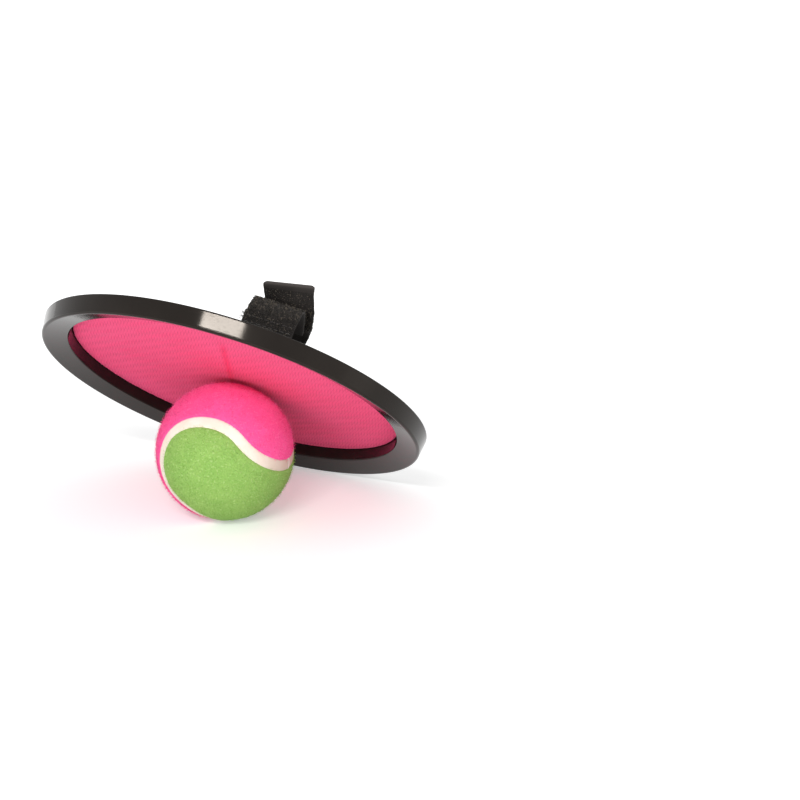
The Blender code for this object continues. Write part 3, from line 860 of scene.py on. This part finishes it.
# %% The strap's path
STRAP_WIDTH = 0.0235
STRAP_THICKNESS = 0.0016
SPACE_HEIGHT = 0.0304
ARCH_POWER = 3.0
TAIL_LENGTH = 0.0120
TAIL_MEETS_LEG = 0.0084
NEAR_END = 0.0080
STRAP_SIDEWAYS = BRIDGE_OPENING / 2 - STRAP_WIDTH / 2 - 0.0010
NEAR_LEAN = 0.0012
FAR_LEAN = 0.0048
OVERLAP_RAMP = 0.0120
TAB_START = -0.0200
TAB_BEND_RADIUS = 0.0040
TAB_LENGTH = 0.0078
TAB_TURN = radians(63)
TAB_TWIST = radians(11)
TAB_DRIFT = 0.0030
LOOP_RADIUS = BAR_RADIUS + CONTACT_GAP + STRAP_THICKNESS / 2
TAPE_PITCH = STRAP_THICKNESS + CONTACT_GAP
ARCH_REACH = BRIDGE_REACH + LOOP_RADIUS
ARCH_HEIGHT = WEB_BACK + SPACE_HEIGHT + STRAP_THICKNESS / 2 - BAR_HEIGHT
FINE_STEP = 0.0008
TAIL_STEPS, TURN_STEPS, BEND_STEPS, TAB_STEPS = 15, 14, 8, 11


def arch_point(turn):
    """A point (y, z) on the arch that both straps follow; turn is 0 at the near bridge."""
    share = 2 / ARCH_POWER
    y = -ARCH_REACH * (1 if cos(turn) > 0 else -1) * abs(cos(turn)) ** share
    return y, BAR_HEIGHT + ARCH_HEIGHT * abs(sin(turn)) ** share


def evenly(path, step):
    """The same path with its points the same distance apart."""
    lengths = [0.0]
    for (y0, z0), (y1, z1) in zip(path, path[1:]):
        lengths.append(lengths[-1] + hypot(y1 - y0, z1 - z0))
    count = max(2, round(lengths[-1] / step))
    spaced = []
    at = 0
    for i in range(count + 1):
        wanted = lengths[-1] * i / count
        while at < len(path) - 2 and lengths[at + 1] < wanted:
            at += 1
        share = (wanted - lengths[at]) / (lengths[at + 1] - lengths[at])
        (y0, z0), (y1, z1) = path[at], path[at + 1]
        spaced.append((y0 + (y1 - y0) * share, z0 + (z1 - z0) * share))
    return spaced


def arch_to(end_y):
    """The arch from the near bridge to where y is end_y."""
    fine = [arch_point(pi * i / 6000) for i in range(6001)]
    return evenly([p for p in fine if p[0] <= end_y], FINE_STEP)


def raised(path, amount):
    """The path moved outwards, off the arch, by amount(y)."""
    moved = []
    for i, (y, z) in enumerate(path):
        y0, z0 = path[max(0, i - 1)]
        y1, z1 = path[min(len(path) - 1, i + 1)]
        length = hypot(y1 - y0, z1 - z0)
        moved.append((y - amount(y) * (z1 - z0) / length, z + amount(y) * (y1 - y0) / length))
    return moved


def leg_y(z):
    """Where the arch's near leg is at a height z."""
    rise = (z - BAR_HEIGHT) / ARCH_HEIGHT
    return -ARCH_REACH * (1 - rise ** ARCH_POWER) ** (1 / ARCH_POWER)


def tape_loop():
    """The tape's sewn tail and its turn under the near bar, from the tail's end."""
    path = []
    for i in range(TAIL_STEPS):
        z = BAR_HEIGHT + TAIL_LENGTH * (TAIL_STEPS - i) / TAIL_STEPS
        spread = (2 * LOOP_RADIUS - TAPE_PITCH) * (1 - smooth((z - BAR_HEIGHT) / TAIL_MEETS_LEG))
        path.append((leg_y(z) + TAPE_PITCH + spread, z))
    for i in range(TURN_STEPS):
        a = pi * i / TURN_STEPS
        path.append((-BRIDGE_REACH + LOOP_RADIUS * cos(a), BAR_HEIGHT - LOOP_RADIUS * sin(a)))
    return path


def near_stations():
    """The near tape's middle line, with the direction across it at each place."""
    across = Vector((1, 0, 0))
    stations = [(Vector((STRAP_SIDEWAYS, y, z)), across) for y, z in tape_loop()]
    for y, z in arch_to(NEAR_END):
        lean = NEAR_LEAN * smooth((z - BAR_HEIGHT) / ARCH_HEIGHT)
        stations.append((Vector((STRAP_SIDEWAYS + lean, y, z)), across))
    return stations


def far_stations():
    """The far tape's, which rises over the near one and ends in the turned-up tab."""
    across = Vector((1, 0, 0))
    stations = [(Vector((STRAP_SIDEWAYS, -y, z)), across) for y, z in tape_loop()]
    ramp_start = NEAR_END + TAPE_PITCH + OVERLAP_RAMP

    def lift(y):
        return TAPE_PITCH * smooth((y + ramp_start) / OVERLAP_RAMP)

    for y, z in raised(arch_to(-TAB_START), lift):
        lean = FAR_LEAN * smooth((y + ARCH_REACH) / ARCH_REACH)
        stations.append((Vector((STRAP_SIDEWAYS + lean, -y, z)), across))
    last, before = stations[-1][0], stations[-2][0]
    heading = atan2(last.z - before.z, before.y - last.y)
    bend_length = TAB_BEND_RADIUS * TAB_TURN
    bend = [(bend_length / BEND_STEPS, TAB_TURN / BEND_STEPS)] * BEND_STEPS
    y, z = last.y, last.z
    travelled = 0
    for step, turn in bend + [(TAB_LENGTH / TAB_STEPS, 0)] * TAB_STEPS:
        y -= step * cos(heading + turn / 2)
        z += step * sin(heading + turn / 2)
        heading += turn
        travelled += step
        share = smooth(travelled / (bend_length + TAB_LENGTH))
        twist = TAB_TWIST * share
        across = Vector((cos(twist), -sin(twist) / 3, sin(twist))).normalized()
        stations.append((Vector((STRAP_SIDEWAYS + FAR_LEAN - TAB_DRIFT * share, y, z)), across))
    return stations


near_path, far_path = near_stations(), far_stations()
print("stations:", len(near_path), "near and", len(far_path), "far")

# %% The tape's skin
PILE_HEIGHT = 0.00045
TAPE_HALF = (STRAP_THICKNESS - PILE_HEIGHT) / 2
EDGE_WIDTH = TAPE_HALF * 1.4
FLAT_STEPS = 22


def framed(stations, side):
    """For each station: its middle, direction across, direction off the pile's side, and length so far."""
    rows = []
    length = 0
    for i, (middle, across) in enumerate(stations):
        before = stations[max(0, i - 1)][0]
        after = stations[min(len(stations) - 1, i + 1)][0]
        if i:
            length += (middle - before).length
        ahead = (after - before).normalized()
        off = across.cross(ahead).normalized() * side
        rows.append((middle, across, off, length))
    return rows


def across_steps():
    """Places across the tape, closer together at its round edges."""
    half = STRAP_WIDTH / 2
    curve = [half - EDGE_WIDTH * (1 - cos(pi / 2 * k / 4)) for k in range(4)]
    inner = half - EDGE_WIDTH
    flat = [inner - 2 * inner * k / FLAT_STEPS for k in range(FLAT_STEPS + 1)]
    return curve + flat + [-q for q in reversed(curve)]


def half_height(q):
    """Half the tape's thickness at a place across it: it is round at both edges."""
    past = max(0.0, (abs(q) - (STRAP_WIDTH / 2 - EDGE_WIDTH)) / EDGE_WIDTH)
    return TAPE_HALF * sqrt(max(0.0, 1 - past * past))


def selvedge_wave(q, s, phase):
    """How far a point moves across as the woven edge wanders a little."""
    share = smooth((abs(q) / (STRAP_WIDTH / 2) - 0.7) / 0.3)
    wander = 0.00009 * sin(s * 520 + phase) + 0.00006 * sin(s * 1370 + 2 * phase)
    return share * wander * (1 if q > 0 else -1)


def square_end(s):
    return 1


def tape_mesh(rows, shift, hem, hem_highlight, phase, width_share=square_end):
    """A closed tape. shift moves it off the pile's side; hem(s) adds to its half thickness and the fourth
    argument gives the painted highlight on it.
    """
    steps = across_steps()
    bm = bmesh.new()
    # The tab's painted highlight is stored on each vertex.
    hem_highlight_layer = bm.verts.layers.float.new("hem_highlight")
    rings = []
    where = {}
    for middle, across, off, s in rows:
        rib = 0.00005 * cos(2 * pi * s / (2 * FINE_STEP))
        ring = []
        for top in (1, -1):
            places = steps if top > 0 else steps[-2:0:-1]
            for q in places:
                round_edge = half_height(q)
                height = round_edge * (1 + hem(s) / TAPE_HALF) + rib * (1 if round_edge > 0 else 0)
                if abs(q) >= STRAP_WIDTH / 2 - 1e-6:
                    height = 0
                moved = q * width_share(s) + selvedge_wave(q, s, phase)
                vert = bm.verts.new(middle + across * moved + off * (shift + top * height))
                where[vert] = (q, s)
                vert[hem_highlight_layer] = hem_highlight(s)
                ring.append(vert)
        rings.append(ring)
    close_rings(bm, rings)
    map_in_metres(bm, where.get)
    return mesh_of("tape", bm)


def open_strip(rows, start, end, places):
    """An open strip along the tape for threads to grow from, through places (across, off its middle)."""
    bm = bmesh.new()
    used = [row for row in rows if start <= row[3] <= end]
    ring_of_rows(bm, [[bm.verts.new(middle + across * q + off * h) for q, h in places]
                      for middle, across, off, _ in used])
    mesh = mesh_of("strip", bm)
    face = mesh.polygons[0]
    if face.normal.dot(face.center - used[0][0]) < 0:
        mesh.flip_normals()
    return mesh


def tape_face(rows, height, start, end, margin):
    """A strip just at the tape's surface, for a nap."""
    reach = STRAP_WIDTH / 2 - margin
    return open_strip(rows, start, end, [(reach * k / 8 - reach, height) for k in range(17)])


def edge_face(rows, start, end, shift):
    """A narrow strip on one edge of the tape, for frayed threads."""
    edge = 0.0001 - STRAP_WIDTH / 2
    return open_strip(rows, start, end, [(edge, shift + h) for h in (-TAPE_HALF, TAPE_HALF)])


def no_hem(s):
    return 0


near_rows = framed(near_path, 1)
far_rows = framed(far_path, -1)
near_length, far_length = near_rows[-1][3], far_rows[-1][3]
HEM_LENGTH = 0.0030
HEM_RISE = 0.00065
CORNER_RADIUS = 0.0012


def tab_hem(s):
    """The tab's end is rolled over and sewn down, so it is thicker there."""
    place = 1 - 2 * (far_length - s) / HEM_LENGTH
    return HEM_RISE * sqrt(max(0.0, 1 - place * place))


def tab_corners(s):
    """The share of the tape's width that is left where the tab's corners are cut round."""
    short = max(0.0, CORNER_RADIUS - (far_length - s))
    return 1 - (CORNER_RADIUS - sqrt(CORNER_RADIUS ** 2 - short ** 2)) / (STRAP_WIDTH / 2)


def tab_hem_highlight(s):
    """How much painted highlight the tab's rolled end gets, as if its rounded top caught the light: most at
    its very edge.
    """
    left = far_length - s
    return smooth((HEM_LENGTH + 0.0002 - left) / 0.0004) * (0.30 + 0.70 * smooth((0.0015 - left) / 0.0012))


def strap_piece(name, mesh, finish, replaced=()):
    """A piece of the strap, carried from the paddle's own frame to where it rests."""
    return new_piece(name, mesh, finish, replaced, AT_REST)


near_mesh = tape_mesh(near_rows, -PILE_HEIGHT / 2, no_hem, no_hem, 0.4)
far_mesh = tape_mesh(far_rows, PILE_HEIGHT / 2, tab_hem, tab_hem_highlight, 1.9, tab_corners)
near_tape = strap_piece("near_strap_tape", near_mesh, tape_black, ["near_strap"])
far_tape = strap_piece("far_strap_tape", far_mesh, tape_black, ["far_strap"])
print("cut lengths:", round(near_length * 1000, 1), "and", round(far_length * 1000, 1), "mm")

# %% [markdown]
# Loop pile is a carpet of short upstanding loops, and hook tape has rows of stiff bent hooks. Painted
# on, neither would catch the light as the strap does, so both grow from the nap tree: loops on the
# outside of the near tape, hooks under the far one, where the turned-up tab shows them.

# %% Pile and hooks
HOOKS_LENGTH = 0.0400
FRAY_START, FRAY_END = 0.0285, 0.0330
NO_LIMIT = -1.0
PILE_FACE = TAPE_HALF - PILE_HEIGHT / 2


def pile(face, **shape):
    """Loops, hooks or frayed threads that grow from a strip of the tape."""
    return grown(nap, face, Lowest=NO_LIMIT, Finish=pile_black, **shape)


loops_face = tape_face(near_rows, PILE_FACE, 0.0005, near_length - 0.0004, 0.0003)
hooks_face = tape_face(far_rows, -PILE_FACE, far_length - HOOKS_LENGTH, far_length - HEM_LENGTH, 0.0012)
fray_face = edge_face(near_rows, FRAY_START, FRAY_END, -PILE_HEIGHT / 2)
loops_mesh = pile(loops_face, Start=(-0.00048, 0, -0.00010), Middle=(0.0001, 0, 0.00150),
                  End=(0.00048, 0.0002, -0.00010), Thickness=0.00016, Apart=0.00088, Tilt=0.6,
                  Least_Size=0.6, Steps=5, Seed=11)
hooks_mesh = pile(hooks_face, Start=(0, 0, -0.00010), Middle=(-0.0001, 0, 0.00110),
                  End=(0.00055, 0, 0.00022), Thickness=0.00015, Apart=0.00085, Tilt=0.35,
                  Least_Size=0.85, Steps=4, Seed=23)
fray_mesh = pile(fray_face, Start=(0, 0, -0.00030), Middle=(0.0001, 0, 0.00150),
                 End=(0.00090, 0.0004, 0.00240), Thickness=0.00015, Apart=0.00030, Tilt=0.9,
                 Least_Size=0.4, Steps=5, Seed=5)
near_pile = strap_piece("near_strap_pile", loops_mesh, pile_black)
near_fray = strap_piece("near_strap_fray", fray_mesh, pile_black)
far_hooks = strap_piece("far_strap_hooks", hooks_mesh, pile_black)

# %% [markdown]
# Each tape's loop is closed by two rows of lockstitch, and the hook patch under the far tape is sewn
# along three of its sides. A stitch is a short thread that dips into the cloth at both ends. The tree below
# sets one every few millimetres along a line, so every seam on the strap comes from it.

# %% Geometry nodes: a line of stitches
STITCH_DIP = 0.00012

sewn, s_in, s_out = new_group(
    "line_of_stitches", "GeometryNodeTree",
    [("Line", GEOMETRY, None), ("Pitch", FLOAT, 0.0024), ("Length", FLOAT, 0.0019),
     ("Rise", FLOAT, 0.0003), ("Thickness", FLOAT, 0.00016), ("Finish", MATERIAL, None)],
    [("Stitches", GEOMETRY)],
)
given = s_in.outputs
half = maths(sewn, "MULTIPLY", given["Length"], 0.5)
start, end = [first_out(sewn, "ShaderNodeCombineXYZ", x=maths(sewn, "MULTIPLY", half, share), z=-STITCH_DIP)
              for share in (-1.0, 1.0)]
crest = first_out(sewn, "ShaderNodeCombineXYZ", z=maths(sewn, "MULTIPLY", given["Rise"], 2.0))
stitch = first_out(sewn, "GeometryNodeCurveQuadraticBezier", resolution=6, start=start, middle=crest, end=end)
line = first_out(sewn, "GeometryNodeMeshToCurve", mesh=given["Line"])
places = first_out(sewn, "GeometryNodeResampleCurve", mode="LENGTH", curve=line, length=given["Pitch"])
up = first_out(sewn, "GeometryNodeInputNamedAttribute", data_type="FLOAT_VECTOR", name="up")
stance = first_out(sewn, "FunctionNodeAlignRotationToVector", axis="Z", vector=up)
stance = first_out(sewn, "FunctionNodeAlignRotationToVector", axis="X", pivot_axis="Z", rotation=stance,
                   vector=first_out(sewn, "GeometryNodeInputTangent"))
planted = first_out(sewn, "GeometryNodeInstanceOnPoints", points=places, rotation=stance,
                    instance=tube(sewn, stitch, 6, given["Thickness"]))
join(sewn, with_finish(sewn, planted, given["Finish"]), s_out.inputs["Stitches"])
print("tree line_of_stitches:", len(sewn.nodes), "nodes")

# %% Where the seams run
def on_tape(rows, s, q, height):
    """A point on the tape at a length s, a place q across and a height off its middle, and its up."""
    i = min(range(len(rows)), key=lambda k: abs(rows[k][3] - s))
    middle, across, off, _ = rows[i]
    return middle + across * q + off * height, off * (1 if height > 0 else -1)


def seam_mesh(lines):
    """Lines of points with their up direction, as loose edges."""
    points, ups, edges = [], [], []
    for line in lines:
        first = len(points)
        points += [p for p, _ in line]
        ups += [u for _, u in line]
        edges += [(first + k, first + k + 1) for k in range(len(line) - 1)]
    mesh = bpy.data.meshes.new("seam")
    mesh.from_pydata(points, edges, [])
    up = mesh.attributes.new("up", "FLOAT_VECTOR", "POINT")
    for k, u in enumerate(ups):
        up.data[k].vector = u
    return mesh


def cross_row(rows, s, height, reach):
    """A line of stitches across the tape."""
    return [on_tape(rows, s, reach * (k / 10 - 1), height) for k in range(21)]


def long_row(rows, start, end, q, height):
    """A line of stitches along the tape."""
    return [on_tape(rows, start + (end - start) * k / 60, q, height) for k in range(61)]


thread_black, tree, shader = new_material("black_sewing_thread", Roughness=0.45, Sheen_Weight=0.3,
                                          Specular_IOR_Level=0.5)
twist = effect(tree, grain, Place=object_place(tree), Scale=2600.0, Detail=1.0)
twisted = mixed(tree, twist["Height"], (0.020, 0.018, 0.017, 1), (0.075, 0.068, 0.062, 1))
join(tree, twisted, shader.inputs["Base Color"])
bump(tree, shader, (twist["Height"], 0.00005))

LOOP_SEAMS = (0.0068, 0.0098)
PATCH_START, PATCH_END = far_length - HOOKS_LENGTH, far_length - 0.0165
SEAM_MARGIN = 0.0022
SUNK_IN_PILE = 0.00025

turn_end = TAIL_LENGTH + pi * LOOP_RADIUS
top = PILE_HEIGHT / 2 + TAPE_HALF
in_pile = PILE_HEIGHT / 2 + SUNK_IN_PILE
reach = STRAP_WIDTH / 2 - SEAM_MARGIN
near_seams = [cross_row(near_rows, turn_end + h, in_pile, reach) for h in LOOP_SEAMS]
far_seams = [cross_row(far_rows, turn_end + h, top, reach) for h in LOOP_SEAMS]
far_seams += [long_row(far_rows, PATCH_START, PATCH_END, q, top) for q in (-reach, reach)]
far_seams += [cross_row(far_rows, PATCH_START, top, reach)]
near_sewn = grown(sewn, seam_mesh(near_seams), Finish=thread_black)
far_sewn = grown(sewn, seam_mesh(far_seams), Finish=thread_black)
near_stitches = strap_piece("near_strap_stitches", near_sewn, thread_black)
far_stitches = strap_piece("far_strap_stitches", far_sewn, thread_black)

# %% [markdown]
# The ball is a hollow rubber core under two dog-bone panels of felt, with a cream seam between them.
# The seam is one closed curve on the sphere, and everything is measured from it: a panel's edge lies
# a fixed distance beside the curve. A sphere with a painted line would have no edge there. Here each
# panel is a thick skin whose edge rolls down to the seam.

# %% The seam's curve
FELT_INNER = BALL_RADIUS - 0.0030
SEAM_WIDTH = 0.0050
SEAM_SINK = 0.0003
SEAM_THIRD = 0.179
SEAM_FIFTH = -0.084
SEAM_RISE = -0.093
BALL_TURN = (radians(28.9), radians(33.8), radians(-114.3))

ball_turn = Euler(BALL_TURN, "XYZ").to_matrix().to_4x4()
BALL_AT_REST = Matrix.Translation((0, 0, BALL_RADIUS - SPOT_DEPTH)) @ ball_turn


def seam_direction(t):
    """The seam's closed curve on a sphere, as a direction from the ball's middle."""
    first = 1 - SEAM_THIRD - SEAM_FIFTH
    x = first * cos(t) + SEAM_THIRD * cos(3 * t) + SEAM_FIFTH * cos(5 * t)
    y = first * sin(t) - SEAM_THIRD * sin(3 * t) + SEAM_FIFTH * sin(5 * t)
    z = 2 * sqrt(first * SEAM_THIRD) * sin(2 * t) + SEAM_RISE * sin(6 * t)
    return Vector((x, y, z)).normalized()


def beside_seam(t, distance):
    """A direction beside the seam; distance is along the ball's surface, towards +Z's panel."""
    here = seam_direction(t)
    ahead = seam_direction(t + 0.001) - here
    side = here.cross(ahead).normalized()
    return (here + side * distance / BALL_RADIUS).normalized()


around = [seam_direction(2 * pi * i / 400) for i in range(401)]
seam_length = sum((after - before).length for before, after in zip(around, around[1:])) * BALL_RADIUS
print("seam length", round(seam_length * 1000, 1), "mm")

# %% Felt panels
FELT_OVERHANG = 0.00010
PANEL_ROWS = 150
EDGE_STEPS = (0.0, 0.00012, 0.00035, 0.0007, 0.0012)
EDGE_ROLL = 0.0012
EDGE_DROP = 0.00045
SKIN_RADIUS = BALL_RADIUS - 0.00025
PANEL_MIDDLE = 30


def lumps(direction):
    """The felt's slight unevenness, in metres."""
    p = direction * BALL_RADIUS
    return 0.00010 * noise.noise(p * 420) + 0.00012 * noise.noise(p * 1050)


def lay_down(bm):
    """Takes a skin from the ball's own frame to where it rests, with its spot pressed flat."""
    bm.transform(BALL_AT_REST)
    for vert in bm.verts:
        vert.co.z = max(0.0, vert.co.z)


def panel_skin(tip, side):
    """The panel's outer skin as an open mesh, where it rests."""
    inset = side * (SEAM_WIDTH / 2 + FELT_OVERHANG)
    bm = bmesh.new()
    rows = []
    for i in range(PANEL_ROWS + 1):
        t = tip + pi * i / PANEL_ROWS
        start, end = beside_seam(t, inset), beside_seam(2 * tip - t, inset)
        if i in (0, PANEL_ROWS):
            single = bm.verts.new(start * (SKIN_RADIUS - EDGE_DROP))
            rows.append([single] * (2 * len(EDGE_STEPS) + PANEL_MIDDLE - 1))
            continue
        width = start.angle(end) * BALL_RADIUS
        tip_gap = min(i, PANEL_ROWS - i) * pi * BALL_RADIUS / PANEL_ROWS
        squeeze = min(1.0, width / (4 * EDGE_STEPS[-1]))
        near_edge = [d * squeeze / width for d in EDGE_STEPS]
        inner = [near_edge[-1] + (1 - 2 * near_edge[-1]) * k / PANEL_MIDDLE for k in range(1, PANEL_MIDDLE)]
        shares = near_edge + inner + [1 - d for d in reversed(near_edge)]
        row = []
        for share in shares:
            out = start.slerp(end, share)
            away = min(share * width, (1 - share) * width, tip_gap * 0.8)
            roll = min(1.0, away / EDGE_ROLL)
            drop = EDGE_DROP * (1 - sqrt(1 - (1 - roll) ** 2))
            radius = SKIN_RADIUS - drop + lumps(out) * roll
            row.append(bm.verts.new(out * radius))
        rows.append(row)
    ring_of_rows(bm, rows)
    bmesh.ops.recalc_face_normals(bm, faces=bm.faces)
    face = bm.faces[:][len(bm.faces) // 2]
    if face.normal.dot(face.calc_center_median()) < 0:
        bmesh.ops.reverse_faces(bm, faces=bm.faces)
    lay_down(bm)
    return bm


def thick_panel(bm):
    """The skin with walls down to the core."""
    middle = BALL_AT_REST.translation
    copied = bmesh.ops.extrude_face_region(bm, geom=bm.faces[:], use_keep_orig=True)
    for part in copied["geom"]:
        if isinstance(part, bmesh.types.BMVert):
            part.co = middle + (part.co - middle).normalized() * FELT_INNER
    bmesh.ops.recalc_face_normals(bm, faces=bm.faces)
    return mesh_of("panel", bm)


def fibres(kind, name, skin, finish, **shape):
    """A piece of short fibres that stand on a copy of a panel's skin."""
    mesh = grown(nap, mesh_of("skin", skin), Start=(0, 0, -0.0001), Finish=finish, **shape)
    return new_piece(f"felt_{kind}_{name}", mesh, finish)


FELTS = (("pink", 0.75 * pi, 1, pink_felt, 31), ("green", 0.25 * pi, -1, green_felt, 47))
for name, tip, side, finish, seed in FELTS:
    skin = panel_skin(tip, side)
    area = sum(face.calc_area() for face in skin.faces)
    for_nap, for_fuzz = skin.copy(), skin.copy()
    panel = new_piece(f"felt_panel_{name}", thick_panel(skin), finish, [f"ball_felt_{name}"])
    short = fibres("nap", name, for_nap, finish, Middle=(0.00015, 0, 0.00050), End=(0.00090, 0, 0.00030),
                   Thickness=0.000055, Apart=0.00062, Tilt=0.4, Least_Size=0.5, Lowest=0.0009, Steps=2,
                   Seed=seed)
    stray = fibres("fuzz", name, for_fuzz, finish, Middle=(0.00025, 0, 0.00100),
                   End=(0.00100, 0.0002, 0.00130), Thickness=0.000052, Apart=0.00093, Tilt=0.7,
                   Least_Size=0.35, Lowest=0.0017, Steps=3, Seed=seed + 5)
    print(name, "panel", round(area * 1e4, 1), "square cm")

# %% The cream seam
SEAM_ROWS = 960
SEAM_COLUMNS = 10
SEAM_CROWN = 0.00022
SEAM_RADIUS = BALL_RADIUS - SEAM_SINK - 0.0001
JOINT_AT = 2.313
JOINT_WIDTH = 0.00055
JOINT_HEIGHT = 0.00025
SEAM_SHADE_WIDTH = 0.0135


def seam_strip():
    """The seam as one closed strip, with a raised joint where its two ends meet."""
    bm = bmesh.new()
    joint_layer = bm.verts.layers.float.new("joint")
    seam_shade_layer = bm.verts.layers.float.new("seam_shade")
    rows = []
    for i in range(SEAM_ROWS):
        t = 2 * pi * i / SEAM_ROWS
        from_joint = (t - JOINT_AT) * BALL_RADIUS
        near_joint = exp(-(from_joint / JOINT_WIDTH) ** 2)
        row = []
        for c in range(SEAM_COLUMNS + 1):
            q = 2 * c / SEAM_COLUMNS - 1
            out = beside_seam(t, q * (SEAM_WIDTH / 2 + CONTACT_GAP))
            uneven = 0.00004 * noise.noise(out * BALL_RADIUS * 600)
            radius = SEAM_RADIUS - SEAM_CROWN * q ** 4 + uneven + JOINT_HEIGHT * near_joint
            vert = bm.verts.new(out * radius)
            vert[joint_layer] = near_joint
            # How much painted shade the seam gets: most at its joint.
            vert[seam_shade_layer] = exp(-(from_joint / SEAM_SHADE_WIDTH) ** 2)
            row.append(vert)
        rows.append(row)
    ring_of_rows(bm, rows, closed_along=True)
    lay_down(bm)
    return thick_panel(bm)


new_piece("cream_seam", seam_strip(), seam_cream, ["ball_seam"])

# %% The core keeps its own shape
for name in ("ball_core_half_a", "ball_core_half_b"):
    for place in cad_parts[name].material_slots:
        place.material = core_rubber
print("core halves:", core_rubber.name)

# %% [markdown]
# The set is shown on a pale floor under plain, soft studio light. One softbox stands above the
# camera and a little to its left, where the bright band on the near rim says that it stood. A low
# fill lights the fabric, which faces the floor. The background is white because the rays that show it
# see white there, not because the light is strong, so the colours render as they are written. Near
# the set the floor glows less, so that it keeps the set's shadow.

# %% What shows the background as it is
def shows_background(tree):
    """1 for rays from the camera, in a gloss or through glass, 0 for the rays that light the set."""
    ray = tree.nodes.new("ShaderNodeLightPath").outputs
    bent = maths(tree, "MAXIMUM", ray["Is Glossy Ray"], ray["Is Transmission Ray"])
    return maths(tree, "MAXIMUM", ray["Is Camera Ray"], bent)


# %% Floor
FLOOR_HALF = 8.0
FLOOR_DROP = 0.0001
GLOW_NEAR, GLOW_RISE = 0.38, 0.55
GLOW_FROM, GLOW_TO = 0.12, 0.75

floor_mesh = bpy.data.meshes.new("floor")
corners = [(x * FLOOR_HALF, y * FLOOR_HALF, -FLOOR_DROP) for x, y in ((-1, -1), (1, -1), (1, 1), (-1, 1))]
floor_mesh.from_pydata(corners, [], [(0, 1, 2, 3)])
floor = placed("floor", floor_mesh)
floor_white, tree, shader = new_material("floor_white", Base_Color=(0.90, 0.90, 0.90, 1), Roughness=0.9,
                                         Specular_IOR_Level=0.1, Emission_Color=(1, 1, 1, 1))
from_set = add_node(tree, "ShaderNodeVectorMath", operation="LENGTH", vector=object_place(tree))
away = ramped(tree, from_set.outputs["Value"], GLOW_FROM, GLOW_TO)
glow = maths(tree, "MULTIPLY_ADD", away, GLOW_RISE, GLOW_NEAR)
join(tree, maths(tree, "MULTIPLY", shows_background(tree), glow), shader.inputs["Emission Strength"])
floor_mesh.materials.append(floor_white)

# %% Lamps and world
LOOK_AT = Vector((0.0, 0.01, 0.05))
SKY_LIGHT = 0.57


def softbox(name, azimuth, elevation, distance, width, height, power, shine=True, roll=0):
    """An area lamp aimed at the set; azimuth 0 is on -Y, 90 on +X. roll turns it about its aim."""
    a, e = radians(azimuth), radians(elevation)
    place = LOOK_AT + distance * Vector((sin(a) * cos(e), -cos(a) * cos(e), sin(e)))
    lamp = placed(name, bpy.data.lights.new(name, "AREA"))
    lamp.data.shape = "RECTANGLE"
    lamp.data.size = width
    lamp.data.size_y = height
    lamp.data.energy = power
    lamp.location = place
    aim = (LOOK_AT - place).to_track_quat("-Z", "Y").to_matrix() @ Matrix.Rotation(radians(roll), 3, "Z")
    lamp.rotation_euler = aim.to_euler()
    lamp.visible_glossy = shine
    print(name, "at", [round(x, 2) for x in place])


softbox("key_softbox", 21.9, 32.7, 1.3, 0.51, 0.07, 6.8, roll=-12)
softbox("low_fill", 28, 2.5, 1.2, 1.6, 0.14, 8.2, shine=False)
softbox("overhead", -60, 70, 1.6, 1.4, 1.4, 1.0, shine=False)

world = bpy.data.worlds.new("studio")
bpy.context.scene.world = world
world.use_nodes = True
tree = world.node_tree
tree.nodes.clear()
level = maths(tree, "MULTIPLY_ADD", shows_background(tree), 1 - SKY_LIGHT, SKY_LIGHT)
sky = first_out(tree, "ShaderNodeBackground", color=(1, 1, 1, 1), strength=level)
add_node(tree, "ShaderNodeOutputWorld", surface=sky)
